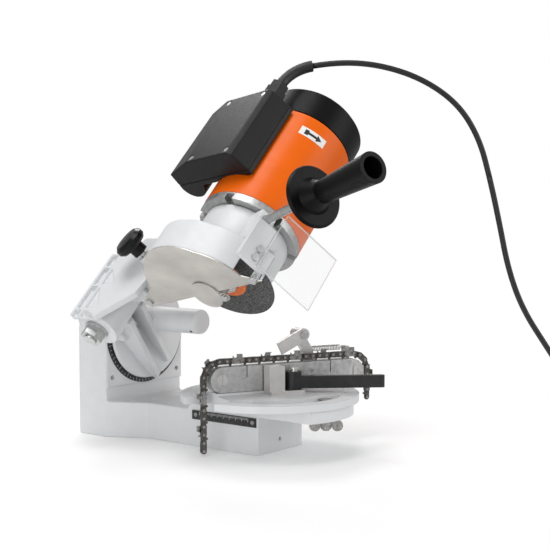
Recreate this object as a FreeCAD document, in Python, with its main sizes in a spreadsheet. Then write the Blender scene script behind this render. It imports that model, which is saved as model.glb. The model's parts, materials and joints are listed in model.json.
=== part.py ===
import FreeCAD, Part
import math
import os
from types import SimpleNamespace

import Sketcher

# Bench grinder for saw chains: a cast base with a turning vise table, and a motor head that
# tilts on a swivel disc and swings down on a hinge. Lengths in millimetres, angles in degrees.
# Origin: table axis on the underside of the base. +X operator's right, +Y back, +Z up.

V = FreeCAD.Vector
Rotation = FreeCAD.Rotation
Placement = FreeCAD.Placement

SIZES = {
    # fits
    "running_gap": 0.06,
    "fixed_gap": 0.05,
    "face_gap": 0.3,
    # base casting
    "base_height": 45,
    "block_width": 86,
    "block_front": 16,
    "taper_start": 158,
    "wall_front": 208,
    "wall_depth": 49,
    "wall_width": 137,
    "base_wall": 7,
    "base_deck": 8,
    "wall_plate": 10,
    "front_web": 22,
    "tongue_thick": 14.5,
    "bench_hole_radius": 4.5,
    "bench_hole_spread": 82,
    "bench_hole_y": 183,
    "bench_boss_radius": 10,
    "deck_recess_radius": 31,
    "deck_recess_y": 150,
    "deck_recess_deep": 2,
    "set_screw_radius": 2.5,
    "set_screw_deep": 14,
    "set_screw_height": 14.2,
    # scale plate, angle scale, ruler
    "plate_thick": 2,
    "plate_margin": 0.8,
    "plate_drop": 70,
    "plate_hole_radius": 3,
    "plate_hole_x": 59,
    "plate_hole_drop": 58,
    "scale_thick": 0.8,
    "scale_radius": 69.5,
    "scale_width": 13.5,
    "ruler_length": 99,
    "ruler_height": 11,
    "ruler_thick": 1.2,
    "ruler_start": 14,
    "rivet_radius": 1.8,
    # turntable and its clamp
    "table_angle": 25,
    "table_radius": 106,
    "tongue_inset": 5,
    "table_thick": 8.7,
    "table_swing": 35,
    "chain_notch_far": 8,
    "chain_notch_near": 48,
    "chain_notch_deep": 33,
    "pivot_radius": 12,
    "pivot_deep": 17,
    "step_inset": 18,
    "step_high": 1.2,
    "pad_left": 76,
    "pad_right": 88,
    "pad_back": 24,
    "pad_high": 4,
    "clamp_inset": 24,
    "clamp_bolt_radius": 4,
    "clamp_head_radius": 7.5,
    "clamp_head_high": 3.6,
    "clamp_slot_gap": 0.5,
    "clamp_bolt_out": 2,
    "wing_hub_radius": 8,
    "wing_hub_high": 11,
    "wing_reach": 13,
    "wing_radius": 6.5,
    "wing_thick": 4,
    "wing_angle": 50,
    # vise
    "rail_left": 66,
    "rail_right": 109,
    "rail_radius": 15,
    "rail_thick": 9,
    "rail_slot": 2,
    "slit_width": 1.2,
    "slit_deep": 14,
    "slit_left": 35,
    "slit_right": 77,
    "guide_radius": 4,
    "guide_head_radius": 6.5,
    "guide_head_high": 3,
    "screw_slot": 1.2,
    "jaw_travel": 1.5,
    "block_left": 14,
    "block_right": 6,
    "block_deep": 15.7,
    "lever_x": 21,
    "lever_out": 22,
    "lever_pin_radius": 4,
    "lever_pin_high": 28,
    "lever_angle": 23,
    "lever_length": 103,
    "lever_bar_high": 14.5,
    "lever_bar_thick": 9,
    "cam_radius": 9.7,
    "cam_offset": 2,
    "cam_high": 21,
    "foot_thick": 3.5,
    # chain stop
    "post_x": 59,
    "post_width": 16,
    "post_thick": 9,
    "post_gap": 1,
    "pawl_x": 45,
    "pawl_rise": 47.2,
    "pawl_length": 36,
    "pawl_width": 15,
    "pawl_thick": 4,
    "pawl_slope": 26,
    "pawl_hub_radius": 7,
    "pawl_pin_radius": 3,
    "pawl_pin_head_radius": 6,
    "circlip_radius": 5,
    "circlip_thick": 1.2,
    "spring_start": 60,
    "spring_end": 109,
    "spring_rise": 26.2,
    "spring_coil_radius": 3.1,
    "spring_wire_radius": 0.55,
    "spring_turns": 22,
    "spring_hook_x": 112,
    "hook_half": 2.5,
    # chain sample
    "chain_pitch": 9.525,
    "chain_rise": 5.5,
    "link_radius": 3.5,
    "link_thick": 1.5,
    "strap_thick": 1.2,
    "strap_gap": 0.1,
    "rivet_pin_radius": 1.7,
    "rivet_hole_gap": 0.08,
    "tang_deep": 5.4,
    "cutter_rise": 4.2,
    "cutter_top_thick": 1.1,
    "chain_end_z": 5.2,
    "chain_overrun": 5,
    "chain_right_drop": 36,
    # head swivel
    "swivel_height": 132,
    "head_tilt": 45,
    "disc_radius": 63.5,
    "disc_thick": 5,
    "disc_hub_thick": 1.7,
    "disc_front": 199,
    "stud_radius": 8,
    "stud_deep": 12,
    "stud_end": 252,
    "wall_boss_radius": 18,
    "wall_boss_end": 235,
    "washer_radius": 15,
    "washer_thick": 3,
    "nut_flats": 24,
    "nut_high": 12,
    "stop_bar_x": 8,
    "stop_bar_u": 12,
    "stop_bar_radius": 15.5,
    "stop_bar_end": 104,
    "stop_bar_chamfer": 2.5,
    "cross_hole_radius": 2.2,
    # hinge
    "hinge_y": 174,
    "hinge_u": 88,
    "arm_lift": 23,
    "barrel_left": 48,
    "barrel_right": 18,
    "barrel_radius": 20,
    "rib_thick": 8,
    "rib_left": 36,
    "rib_right": 4,
    "hinge_bolt_radius": 8,
    "hinge_bolt_end": 92,
    "bush_wall": 3,
    "cheek_radius": 27,
    "cheek_left": 74,
    "cheek_right": 22,
    "cheek_gap": 0.5,
    "lift_coil_radius": 13.5,
    "lift_wire_radius": 1.5,
    "lift_turns": 4,
    # arm casting, whose top web slopes down to the front
    "web_slope": 21,
    "web_low": 22,
    "web_high": 31,
    "arm_left": 79,
    "arm_back": 20.4,
    "arm_front": 140,
    "web_front": 72,
    "web_corner_x": 40,
    "web_corner_y": 64,
    "web_left_y": 22,
    "shell_radius": 27,
    "shell_gap": 1.3,
    "shell_sweep": 148,
    "side_wall_left": 26,
    "side_wall_thick": 6,
    "beam_left": 22,
    "beam_right": 48,
    "beam_back": 22,
    "beam_low": 72,
    "pocket_deep": 6,
    "pocket_rib": 3.5,
    "pocket_row": 11,
    "pocket_point": 19,
    "pocket_end_row": 12,
    "pocket_long_row": 38,
    "pocket_mid_row": 30,
    # spindle line, stations along the spindle from the wheel to the fan
    "spindle_y": 175.5,
    "spindle_z": 40,
    "wheel_radius": 65,
    "wheel_thick": 4,
    "wheel_station": 8,
    "wheel_bore": 10,
    "flange_radius": 21,
    "flange_thick": 5,
    "shaft_radius": 10,
    "spindle_nut_flats": 27,
    "spindle_nut_high": 9,
    "cover_station": 36,
    "cover_thick": 1.5,
    "guard_wall": 3.5,
    "guard_back": 7,
    "neck_radius": 52,
    "neck_wall": 5,
    "neck_end": 54,
    "tube_radius": 62,
    "bell_inset": 0.5,
    "tube_wall": 2.4,
    "tube_start": 64,
    "tube_end": 202,
    "bearing_radius": 21,
    "bearing_width": 12,
    "stator_start": 95,
    "stator_end": 175,
    "rotor_radius": 34,
    "rotor_air_gap": 0.5,
    "rear_bell_thick": 10,
    "cap_start": 204,
    "cap_end": 245,
    "cap_inset": 0.5,
    "cap_wall": 2.5,
    "fan_gap": 7,
    "fan_start": 214,
    "fan_width": 18,
    "fan_blades": 8,
    "fan_blade_thick": 2,
    "vent_count": 12,
    "vent_width": 6,
    "vent_inner": 18,
    "vent_outer": 50,
    # guard outline, from the hinge axis: forward, and up
    "guard_rear_low": 62,
    "guard_rear_mid": 96,
    "guard_top_y": 160,
    "guard_top_z": 41,
    "guard_front_radius": 70,
    "guard_tip_y": 266,
    "guard_tip_z": 50,
    "guard_low_z": 24,
    "guard_lip": 12,
    "hatch_radius": 20,
    "hatch_y": 171,
    "hatch_z": 38,
    "hatch_hole_radius": 14,
    "hatch_thick": 1.6,
    "hatch_screw_y": 194,
    "hatch_screw_z": 49,
    "screw_head_radius": 4.5,
    "screw_head_high": 2.5,
    "screw_radius": 2.4,
    "screw_long": 7,
    # shield and handle
    "bracket_left": 28,
    "bracket_right": 49,
    "bracket_front": 259,
    "bracket_thick": 7,
    "bracket_low": 36,
    "bracket_high": 16,
    "bracket_drop": 13,
    "bracket_step": 24,
    "bracket_back": 14,
    "shield_left": 26,
    "shield_right": 48,
    "shield_low": 112,
    "shield_thick": 3,
    "handle_x": 41,
    "handle_z": 26,
    "rod_radius": 5,
    "rod_deep": 12,
    "grip_start": 330,
    "grip_end": 432,
    "grip_radius": 15,
    "grip_disc_radius": 34,
    "grip_disc_thick": 5,
    "grip_bore": 11.5,
    "grip_bore_deep": 40,
    # terminal box, in a frame on the crown of the motor tube turned forward: across, and out
    "box_turn": 12.7,
    "box_start": 90,
    "box_end": 199,
    "box_front": 26,
    "box_ridge": 50,
    "box_back": 88,
    "box_top": 32,
    "box_back_top": 20,
    "box_seam": 2.3,
    "box_sink": 5,
    "box_lip": 7,
    "box_wall": 2.5,
    "box_chamfer": 5,
    "saddle_gap": 0.3,
    "capacitor_across": 69,
    "capacitor_sink": 2,
    "capacitor_radius": 15.5,
    "capacitor_length": 80,
    "bulge_radius": 19,
    "box_screw_radius": 3.2,
    "box_screw_inset": 7,
    "switch_wide": 15,
    "switch_long": 28,
    "switch_thick": 5,
    "switch_station": 140,
    "switch_out": 11,
    # cord
    "gland_across": 13,
    "gland_out": 17,
    "gland_flats": 24,
    "gland_length": 24,
    "relief_radius": 6.8,
    "cord_radius": 3.5,
    "coil_radius": 46,
    "coil_step": 8.8,
    "plug_length": 40,
    "plug_radius": 14,
    "plug_pin_radius": 2.4,
    "plug_pin_long": 19,
    "plug_pin_spread": 19,
    # depth screw
    "depth_x": 11.5,
    "depth_y": 61,
    "depth_radius": 4,
    "depth_low": 58,
    "depth_boss_radius": 10,
    "depth_boss_low": 2,
    "depth_boss_high": 19,
    "knob_radius": 20,
    "knob_hub_radius": 9.5,
    "knob_low": 24,
    "knob_high": 26,
}


class Size:
    """A number together with the sheet formula that gives it."""

    def __init__(self, value, formula):
        self.value = value
        self.formula = formula

    def __add__(self, other):
        return Size(self.value + number(other), f"({self.formula} + {formula(other)})")

    def __radd__(self, other):
        return Size(number(other) + self.value, f"({formula(other)} + {self.formula})")

    def __sub__(self, other):
        return Size(self.value - number(other), f"({self.formula} - {formula(other)})")

    def __rsub__(self, other):
        return Size(number(other) - self.value, f"({formula(other)} - {self.formula})")

    def __mul__(self, other):
        return Size(self.value * number(other), f"({self.formula} * {formula(other)})")

    __rmul__ = __mul__

    def __truediv__(self, other):
        return Size(self.value / number(other), f"({self.formula} / {formula(other)})")

    def __neg__(self):
        return Size(-self.value, f"(-{self.formula})")


def number(size):
    return size.value if isinstance(size, Size) else size


def formula(size):
    return size.formula if isinstance(size, Size) else repr(size)


def make_sheet():
    sheet = doc.addObject("Spreadsheet::Sheet", "Sizes")
    for row, (name, value) in enumerate(SIZES.items(), start=1):
        sheet.set(f"A{row}", name)
        sheet.set(f"B{row}", str(value))
        sheet.setAlias(f"B{row}", name)
    doc.recompute()
    return SimpleNamespace(**{n: Size(float(sheet.get(n)), f"Sizes.{n}") for n in SIZES})


def bind(obj, prop, size):
    setattr(obj, prop, number(size))
    if isinstance(size, Size):
        obj.setExpression(prop, size.formula)


def move(obj, at, turn=None):
    obj.Placement = Placement(V(*[number(x) for x in at]), turn or Rotation())
    for axis, size in zip("xyz", at):
        if isinstance(size, Size):
            obj.setExpression(f".Placement.Base.{axis}", size.formula)
    return obj


TURNS = {
    "Z": Rotation(),
    "X": Rotation(V(0, 1, 0), 90),
    "Y": Rotation(V(1, 0, 0), -90),
    "-Z": Rotation(V(1, 0, 0), 180),
    "-X": Rotation(V(0, 1, 0), -90),
    "-Y": Rotation(V(1, 0, 0), 90),
}


def box(x, y, z):
    """Box between two limits on each axis."""
    obj = doc.addObject("Part::Box", "Box")
    for prop, (low, high) in zip(("Length", "Width", "Height"), (x, y, z)):
        bind(obj, prop, high - low)
    return move(obj, (x[0], y[0], z[0]))


def rod(radius, length, at, along="Z", sector=360):
    obj = doc.addObject("Part::Cylinder", "Rod")
    bind(obj, "Radius", radius)
    bind(obj, "Height", length)
    obj.Angle = number(sector)
    return move(obj, at, TURNS[along])


def taper(radius, tip_radius, length, at, along="Z"):
    obj = doc.addObject("Part::Cone", "Taper")
    bind(obj, "Radius1", radius)
    bind(obj, "Radius2", tip_radius)
    bind(obj, "Height", length)
    return move(obj, at, TURNS[along])


def hexagon(flats, length, at, along="Z"):
    obj = doc.addObject("Part::Prism", "Hexagon")
    obj.Polygon = 6
    bind(obj, "Circumradius", flats / math.sqrt(3))
    bind(obj, "Height", length)
    return move(obj, at, TURNS[along])


def fuse(*shapes):
    if len(shapes) == 1:
        return shapes[0]
    obj = doc.addObject("Part::MultiFuse", "Fuse")
    obj.Shapes = list(shapes)
    return obj


def cut(base, *tools):
    obj = doc.addObject("Part::Cut", "Cut")
    obj.Base = base
    obj.Tool = fuse(*tools)
    return obj


def common(first, second):
    obj = doc.addObject("Part::Common", "Common")
    obj.Base = first
    obj.Tool = second
    return obj


def ring(outer, inner, length, at, along="Z"):
    return cut(rod(outer, length, at, along), rod(inner, length, at, along))


def turned_copy(obj, about, axis, degrees):
    """A copy of a piece turned about an axis through a point."""
    copy = doc.addObject("Part::Compound", "Turned")
    copy.Links = [obj]
    copy.Placement = Placement(V(0, 0, 0), Rotation(axis, degrees), V(*[number(x) for x in about]))
    return copy


def origin_plane(body, role):
    return next(f for f in body.Origin.OriginFeatures if f.Role == role)


def outline_sketch(body, role, points):
    """Closed outline of straight lines whose corners follow the sheet."""
    sketch = body.newObject("Sketcher::SketchObject", "Outline")
    sketch.AttachmentSupport = (origin_plane(body, role), [""])
    sketch.MapMode = "FlatFace"
    corners = [V(number(x), number(y), 0) for x, y in points]
    following = corners[1:] + corners[:1]
    sketch.addGeometry([Part.LineSegment(a, b) for a, b in zip(corners, following)], False)
    count = len(corners)
    joins = [Sketcher.Constraint("Coincident", i, 2, (i + 1) % count, 1) for i in range(count)]
    sketch.addConstraint(joins)
    for i, corner in enumerate(points):
        for kind, size, axis in zip(("DistanceX", "DistanceY"), corner, (-2, -1)):
            if number(size) == 0:
                sketch.addConstraint(Sketcher.Constraint("PointOnObject", i, 1, axis))
                continue
            index = sketch.addConstraint(Sketcher.Constraint(kind, -1, 1, i, 1, number(size)))
            if isinstance(size, Size):
                sketch.setExpression(f"Constraints[{index}]", size.formula)
    return sketch


def prism(points, start, end, role="XY_Plane"):
    """Pad of an outline between two limits along the normal of its plane."""
    body = doc.addObject("PartDesign::Body", "Prism")
    pad = body.newObject("PartDesign::Pad", "Pad")
    pad.Profile = outline_sketch(body, role, points)
    bind(pad, "Length", end - start)
    pad.Reversed = role == "XZ_Plane"
    at = {"XY_Plane": (0, 0, start), "XZ_Plane": (0, start, 0), "YZ_Plane": (start, 0, 0)}[role]
    return move(body, at)


def turned(profile):
    """Solid of revolution about Z from (radius, height) corners."""
    body = doc.addObject("PartDesign::Body", "Turned")
    spin = body.newObject("PartDesign::Revolution", "Revolution")
    sketch = outline_sketch(body, "XZ_Plane", profile)
    spin.Profile = sketch
    spin.ReferenceAxis = (sketch, ["V_Axis"])
    spin.Angle = 360
    return body


def feature(shape):
    obj = doc.addObject("Part::Feature", "Shape")
    obj.Shape = shape
    return obj


def node(name, frame, *pieces):
    """One sub-part: its solids, its own label and its place in the part's frame."""
    obj = doc.addObject("Part::Compound", name)
    obj.Label = name
    obj.Links = list(pieces)
    obj.Placement = frame
    nodes.append(obj)


# Curves: wound tubes and cords


def tangent_arc(start, tangent, end):
    chord = end - start
    side = chord - tangent * chord.dot(tangent)
    if side.Length < 1e-6:
        return Part.LineSegment(start, end).toShape()
    radius = chord.Length ** 2 / (2 * side.Length)
    centre = start + side.normalize() * radius
    middle = centre + ((start + end) * 0.5 - centre).normalize() * radius
    return Part.Arc(start, middle, end).toShape()


def biarc(start, tangent, end, end_tangent):
    """Two arcs that share a tangent, from one point and direction to another."""
    gap = end - start
    both = tangent + end_tangent
    spread = 2 * (1 - tangent.dot(end_tangent))
    if spread < 1e-9:
        reach = gap.dot(gap) / (4 * gap.dot(end_tangent))
    else:
        lean = gap.dot(both)
        reach = (-lean + math.sqrt(lean ** 2 + spread * gap.dot(gap))) / spread
    middle = (start + end + (tangent - end_tangent) * reach) * 0.5
    arrival = (middle - (end - end_tangent * reach)).normalize() * -1
    return [tangent_arc(start, tangent, middle), tangent_arc(middle, -arrival, end)]


def tube(edges, radius, start, direction):
    """Round tube swept along a tangent-continuous path."""
    path = Part.Wire(edges)
    section = Part.Wire(Part.Circle(start, direction, radius).toShape())
    shell = Part.BRepOffsetAPI.MakePipeShell(path)
    shell.add(section)
    shell.build()
    shell.makeSolid()
    solid = Part.Solid(shell.shape())
    if solid.Volume < 0:
        solid.reverse()
    return solid, path


def least_gap(points, diameter, apart):
    """Least clear distance between stretches of a tube that lie apart along its path."""
    nearest = min((a - b).Length for i, a in enumerate(points) for b in points[i + apart:])
    return nearest - diameter


def wound(name, points, tangents, radius, per_turn):
    """Tube wound through points and tangents; prints its least gap to itself."""
    edges = []
    for i in range(len(points) - 1):
        edges += biarc(points[i], tangents[i], points[i + 1], tangents[i + 1])
    solid, path = tube(edges, radius, points[0], tangents[0])
    samples = [e.valueAt(e.FirstParameter + (e.LastParameter - e.FirstParameter) * f)
               for e in path.Edges for f in (0.0, 0.25, 0.5, 0.75)]
    gap = least_gap(samples, 2 * radius, int(per_turn * 2 * 4 * 0.6))
    print(f"{name}: least gap {gap:.2f} mm, length {path.Length:.1f} mm")
    return solid


def helix(name, radius, wire, start, end, turns):
    """Helical spring along +X from start to end."""
    steps = int(turns * 4)
    points, tangents = [], []
    rise = (end - start) / (2 * math.pi * turns)
    for i in range(steps + 1):
        angle = i * math.pi / 2
        points.append(V(start + rise * angle, radius * math.cos(angle), radius * math.sin(angle)))
        tangents.append(V(rise, -radius * math.sin(angle), radius * math.cos(angle)).normalize())
    return wound(name, points, tangents, wire, 4)


def route_edges(points):
    """Straight runs joined by arcs as large as the runs allow; prints the radii."""
    edges, start, radii = [], points[0], []
    for before, corner, after in zip(points, points[1:], points[2:]):
        back, ahead = (before - corner), (after - corner)
        shorter = min(back.Length, ahead.Length)
        half = (math.pi - back.getAngle(ahead)) / 2
        reach = 0.45 * shorter
        radii.append(reach / math.tan(half))
        enter = corner + back.normalize() * reach
        leave = corner + ahead.normalize() * reach
        edges.append(Part.LineSegment(start, enter).toShape())
        edges.append(tangent_arc(enter, (corner - enter).normalize(), leave))
        start = leave
    edges.append(Part.LineSegment(start, points[-1]).toShape())
    print("cord radii", [round(r) for r in radii])
    return edges


# Base


def base_casting():
    half_block, half_wall = s.block_width / 2, s.wall_width / 2
    back = s.wall_front + s.wall_depth
    plan = [(-half_block, -s.block_front), (half_block, -s.block_front), (half_block, s.taper_start),
            (half_wall, s.wall_front), (half_wall, back), (-half_wall, back), (-half_wall, s.wall_front),
            (-half_block, s.taper_start)]
    inner_block, inner_wall = half_block - s.base_wall, half_wall - s.base_wall
    pocket_front = s.front_web - s.block_front
    hollow = [(-inner_block, pocket_front), (inner_block, pocket_front), (inner_block, s.taper_start),
              (inner_wall, s.wall_front), (inner_wall, back - s.base_wall),
              (-inner_wall, back - s.base_wall), (-inner_wall, s.wall_front), (-inner_block, s.taper_start)]
    block = prism(plan, 0, s.base_height)
    wall_y = (s.wall_front, back)
    wall = box((-half_wall, half_wall), wall_y, (0, s.swivel_height))
    arch = rod(half_wall, s.wall_depth, (0, s.wall_front, s.swivel_height), "Y")
    top = s.base_height + s.tongue_thick
    tongue = common(box((-half_block, half_block), (-tongue_reach, tongue_reach), (s.base_height, top)),
                    rod(tongue_reach, s.tongue_thick, (0, 0, s.base_height)))
    rear_y = (s.wall_front + s.wall_plate, back)
    rear = box((-inner_wall, inner_wall), rear_y, (s.base_height, s.swivel_height))
    rear_arch = rod(inner_wall, s.wall_depth - s.wall_plate, (0, rear_y[0], s.swivel_height), "Y")
    under = prism(hollow, 0, s.base_height - s.base_deck)
    solid = cut(fuse(block, wall, arch, tongue), under, rear, rear_arch)
    sides = (-1, 1)
    half_spread = s.bench_hole_spread / 2
    bosses = [rod(s.bench_boss_radius, s.base_height, (half_spread * k, s.bench_hole_y, 0)) for k in sides]
    boss_length = s.wall_boss_end - s.wall_front
    swivel_boss = rod(s.wall_boss_radius, boss_length, (0, s.wall_front, s.swivel_height), "Y")
    holes = [rod(s.bench_hole_radius, s.base_height, (half_spread * k, s.bench_hole_y, 0)) for k in sides]
    holes.append(rod(s.stud_radius + s.running_gap, boss_length, (0, s.wall_front, s.swivel_height), "Y"))
    holes.append(rod(s.pivot_radius + s.running_gap, s.pivot_deep + s.face_gap,
                     (0, 0, top - s.pivot_deep - s.face_gap)))
    holes.append(rod(s.clamp_bolt_radius + s.fixed_gap, s.tongue_thick, (0, -clamp_circle, s.base_height)))
    holes.append(rod(s.set_screw_radius, s.set_screw_deep, (0, -s.block_front, s.set_screw_height), "Y"))
    hole_z = s.swivel_height - s.plate_hole_drop
    holes += [rod(s.plate_hole_radius, s.wall_plate, (s.plate_hole_x * k, s.wall_front, hole_z), "Y")
              for k in sides]
    recess_z = s.base_height - s.deck_recess_deep
    recess = rod(s.deck_recess_radius, s.deck_recess_deep, (0, s.deck_recess_y, recess_z))
    recess_run = cut(box((-s.deck_recess_radius, s.deck_recess_radius),
                         (tongue_reach - s.deck_recess_radius, s.deck_recess_y), (recess_z, s.base_height)),
                     rod(tongue_reach + s.face_gap, s.deck_recess_deep, (0, 0, recess_z)))
    node("base_casting", ground, cut(fuse(solid, swivel_boss, *bosses), recess, recess_run, *holes))


def plate_outline(y, thick):
    half = s.wall_width / 2 - s.plate_margin
    return fuse(box((-half, half), (y, y + thick), (s.swivel_height - s.plate_drop, s.swivel_height)),
                rod(half, thick, (0, y, s.swivel_height), "Y"))


def scale_plate():
    y = s.wall_front - s.plate_thick
    bore = rod(s.stud_radius + s.running_gap, s.plate_thick, (0, y, s.swivel_height), "Y")
    hole_z = s.swivel_height - s.plate_hole_drop
    holes = [rod(s.plate_hole_radius, s.plate_thick, (s.plate_hole_x * k, y, hole_z), "Y") for k in (-1, 1)]
    node("scale_plate", ground, cut(plate_outline(y, s.plate_thick), bore, *holes))
    scale_y = y - s.scale_thick
    band = ring(s.scale_radius, s.scale_radius - s.scale_width, s.scale_thick,
                (0, scale_y, s.swivel_height), "Y")
    node("angle_scale", ground, common(band, plate_outline(scale_y, s.scale_thick)))


def ruler():
    side = -s.block_width / 2
    y = (-s.ruler_start, s.ruler_length - s.ruler_start)
    z = (s.base_height - s.ruler_height - s.deck_recess_deep / 2, s.base_height - s.deck_recess_deep / 2)
    middle = (z[0] + z[1]) / 2
    places = [y[0] + s.ruler_height / 2, y[1] - s.ruler_height / 2]
    strip = box((side - s.ruler_thick, side), y, z)
    holes = [rod(s.rivet_radius + s.fixed_gap, s.ruler_thick, (side - s.ruler_thick, p, middle), "X")
             for p in places]
    node("ruler_strip", ground, cut(strip, *holes))
    pins = [fuse(rod(s.rivet_radius, s.ruler_thick, (side - s.ruler_thick, p, middle), "X"),
                 taper(s.rivet_radius * 1.5, s.rivet_radius * 0.8, s.rivet_radius / 2,
                       (side - s.ruler_thick, p, middle), "-X")) for p in places]
    node("ruler_rivets", ground, *pins)


def table_clamp():
    top = s.base_height + s.tongue_thick + s.face_gap + s.table_thick
    head_z = top - s.clamp_head_high - s.face_gap
    hub_z = s.base_height - s.face_gap - s.wing_hub_high
    bolt_end = hub_z - s.clamp_bolt_out
    shank = rod(s.clamp_bolt_radius, head_z - bolt_end, (0, -clamp_circle, bolt_end))
    head = rod(s.clamp_head_radius, s.clamp_head_high, (0, -clamp_circle, head_z))
    node("table_clamp_bolt", ground, fuse(shank, head))
    hub = taper(s.wing_hub_radius * 0.75, s.wing_hub_radius, s.wing_hub_high, (0, 0, hub_z))
    wing_z = hub_z + s.wing_hub_high / 3
    wings = [rod(s.wing_radius, s.wing_thick, (s.wing_reach * k, -s.wing_thick / 2, wing_z), "Y")
             for k in (-1, 1)]
    arms = box((-s.wing_reach, s.wing_reach), (-s.wing_thick / 2, s.wing_thick / 2),
               (wing_z, wing_z + s.wing_radius * 0.7))
    bore = rod(s.clamp_bolt_radius + s.running_gap, s.wing_hub_high, (0, 0, hub_z))
    frame = Placement(V(0, -clamp_circle.value, 0), Rotation(V(0, 0, 1), -s.wing_angle.value))
    node("wing_nut", frame, cut(fuse(hub, arms, *wings), bore))


# Turntable and vise


def turntable():
    low = s.base_height + s.tongue_thick + s.face_gap
    high = low + s.table_thick
    disc = rod(s.table_radius, s.table_thick, (0, 0, low))
    step = rod(s.table_radius - s.step_inset, s.table_thick + s.step_high, (0, 0, low))
    pad_front = s.rail_slot / 2 + s.rail_thick + s.jaw_travel
    pad = box((-s.pad_left, s.pad_right), (-pad_front, s.pad_back), (low, high + s.pad_high))
    pivot = rod(s.pivot_radius, s.pivot_deep, (0, 0, low - s.pivot_deep))
    sweep = s.table_swing * 2
    head_low = high - s.clamp_head_high - s.face_gap * 2
    slots = []
    for half, floor in ((s.clamp_bolt_radius + s.clamp_slot_gap, low),
                        (s.clamp_head_radius + s.clamp_slot_gap, head_low)):
        deep = high + s.step_high - floor
        band = cut(rod(clamp_circle + half, deep, (0, 0, floor), sector=sweep),
                   rod(clamp_circle - half, deep, (0, 0, floor)))
        start = turned_copy(band, (0, 0, 0), V(0, 0, 1), -90 - s.table_swing.value)
        ends = [turned_copy(rod(half, deep, (0, -clamp_circle, floor)), (0, 0, 0), V(0, 0, 1),
                            s.table_swing.value * k) for k in (-1, 1)]
        slots += [start, *ends]
    notch = box((-s.table_radius, -s.table_radius + s.chain_notch_deep),
                (-s.chain_notch_near, s.chain_notch_far), (low, high + s.pad_high))
    node("turntable", table_frame, cut(fuse(disc, step, pad, pivot), notch, *slots))
    return high + s.pad_high


def rail_shape(y, rail_z):
    bar = box((-s.rail_left, s.rail_right), y, (rail_z - s.rail_radius, rail_z + s.rail_radius))
    ends = [rod(s.rail_radius, y[1] - y[0], (x, y[0], rail_z), "Y") for x in (-s.rail_left, s.rail_right)]
    slit_low = rail_z + s.rail_radius - s.slit_deep
    slits = [box((x - s.slit_width / 2, x + s.slit_width / 2), y, (slit_low, rail_z + s.rail_radius))
             for x in (-s.slit_left, s.slit_right)]
    return cut(fuse(bar, *ends), *slits)


def vise(pad_top):
    rail_z = pad_top + s.face_gap + s.rail_radius
    half_slot = s.rail_slot / 2
    outer = half_slot + s.rail_thick
    places = (-s.rail_left, s.rail_right)
    rear_y, front_y = (half_slot, outer), (-outer, -half_slot)
    guide_gap = s.guide_radius + s.running_gap
    rear_holes = [rod(guide_gap, s.rail_thick, (x, half_slot, rail_z), "Y") for x in places]
    feet = box((-s.rail_left, s.rail_right), rear_y, (pad_top, rail_z))
    hook_y = outer + s.post_gap + s.post_thick
    ear_x = (s.spring_hook_x - s.hook_half, s.spring_hook_x + s.hook_half)
    spring_z = rail_z + s.spring_rise
    ear = box(ear_x, (outer - s.post_gap, hook_y), (rail_z, spring_z + s.hook_half))
    peg = rod(s.spring_wire_radius * 2, s.spring_coil_radius * 2, (s.spring_hook_x, hook_y, spring_z), "Y")
    node("rear_rail", table_frame, cut(fuse(rail_shape(rear_y, rail_z), feet, ear, peg), *rear_holes))
    head_gap = s.guide_head_radius + s.fixed_gap
    front_holes = [fuse(rod(s.guide_radius + s.fixed_gap, s.rail_thick, (x, -outer, rail_z), "Y"),
                        rod(head_gap, s.guide_head_high, (x, -outer, rail_z), "Y")) for x in places]
    node("front_rail", table_frame, cut(rail_shape(front_y, rail_z), *front_holes))
    guides = []
    for x in places:
        pin = fuse(rod(s.guide_radius, outer * 2 - s.face_gap, (x, -outer, rail_z), "Y"),
                   rod(s.guide_head_radius, s.guide_head_high, (x, -outer, rail_z), "Y"))
        slot = box((x - s.screw_slot / 2, x + s.screw_slot / 2), (-outer, -outer + s.screw_slot),
                   (rail_z - s.guide_head_radius, rail_z + s.guide_head_radius))
        guides.append(cut(pin, slot))
    node("rail_screws", table_frame, *guides)
    block_front = outer + s.jaw_travel + s.face_gap
    step_top = pad_top - s.pad_high + s.step_high
    block_z = (step_top, rail_z + s.rail_radius - s.face_gap)
    block = box((-s.block_left, s.block_right), (-block_front - s.block_deep, -block_front), block_z)
    foot_z = (step_top, step_top + s.foot_thick)
    foot = box((-s.block_left, s.lever_x + s.cam_radius), (-s.lever_out - s.cam_radius, -block_front), foot_z)
    pin_hole = rod(s.lever_pin_radius + s.fixed_gap, s.foot_thick, (s.lever_x, -s.lever_out, foot_z[0]))
    pin = fuse(rod(s.lever_pin_radius, s.lever_pin_high, (s.lever_x, -s.lever_out, foot_z[0])),
               rod(s.lever_pin_radius * 1.5, s.lever_pin_radius / 2,
                   (s.lever_x, -s.lever_out, foot_z[0] + s.lever_pin_high)))
    node("clamp_block", table_frame, cut(fuse(block, foot), pin_hole), pin)
    clamp_lever(foot_z[1] + s.face_gap)
    return rail_z


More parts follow.
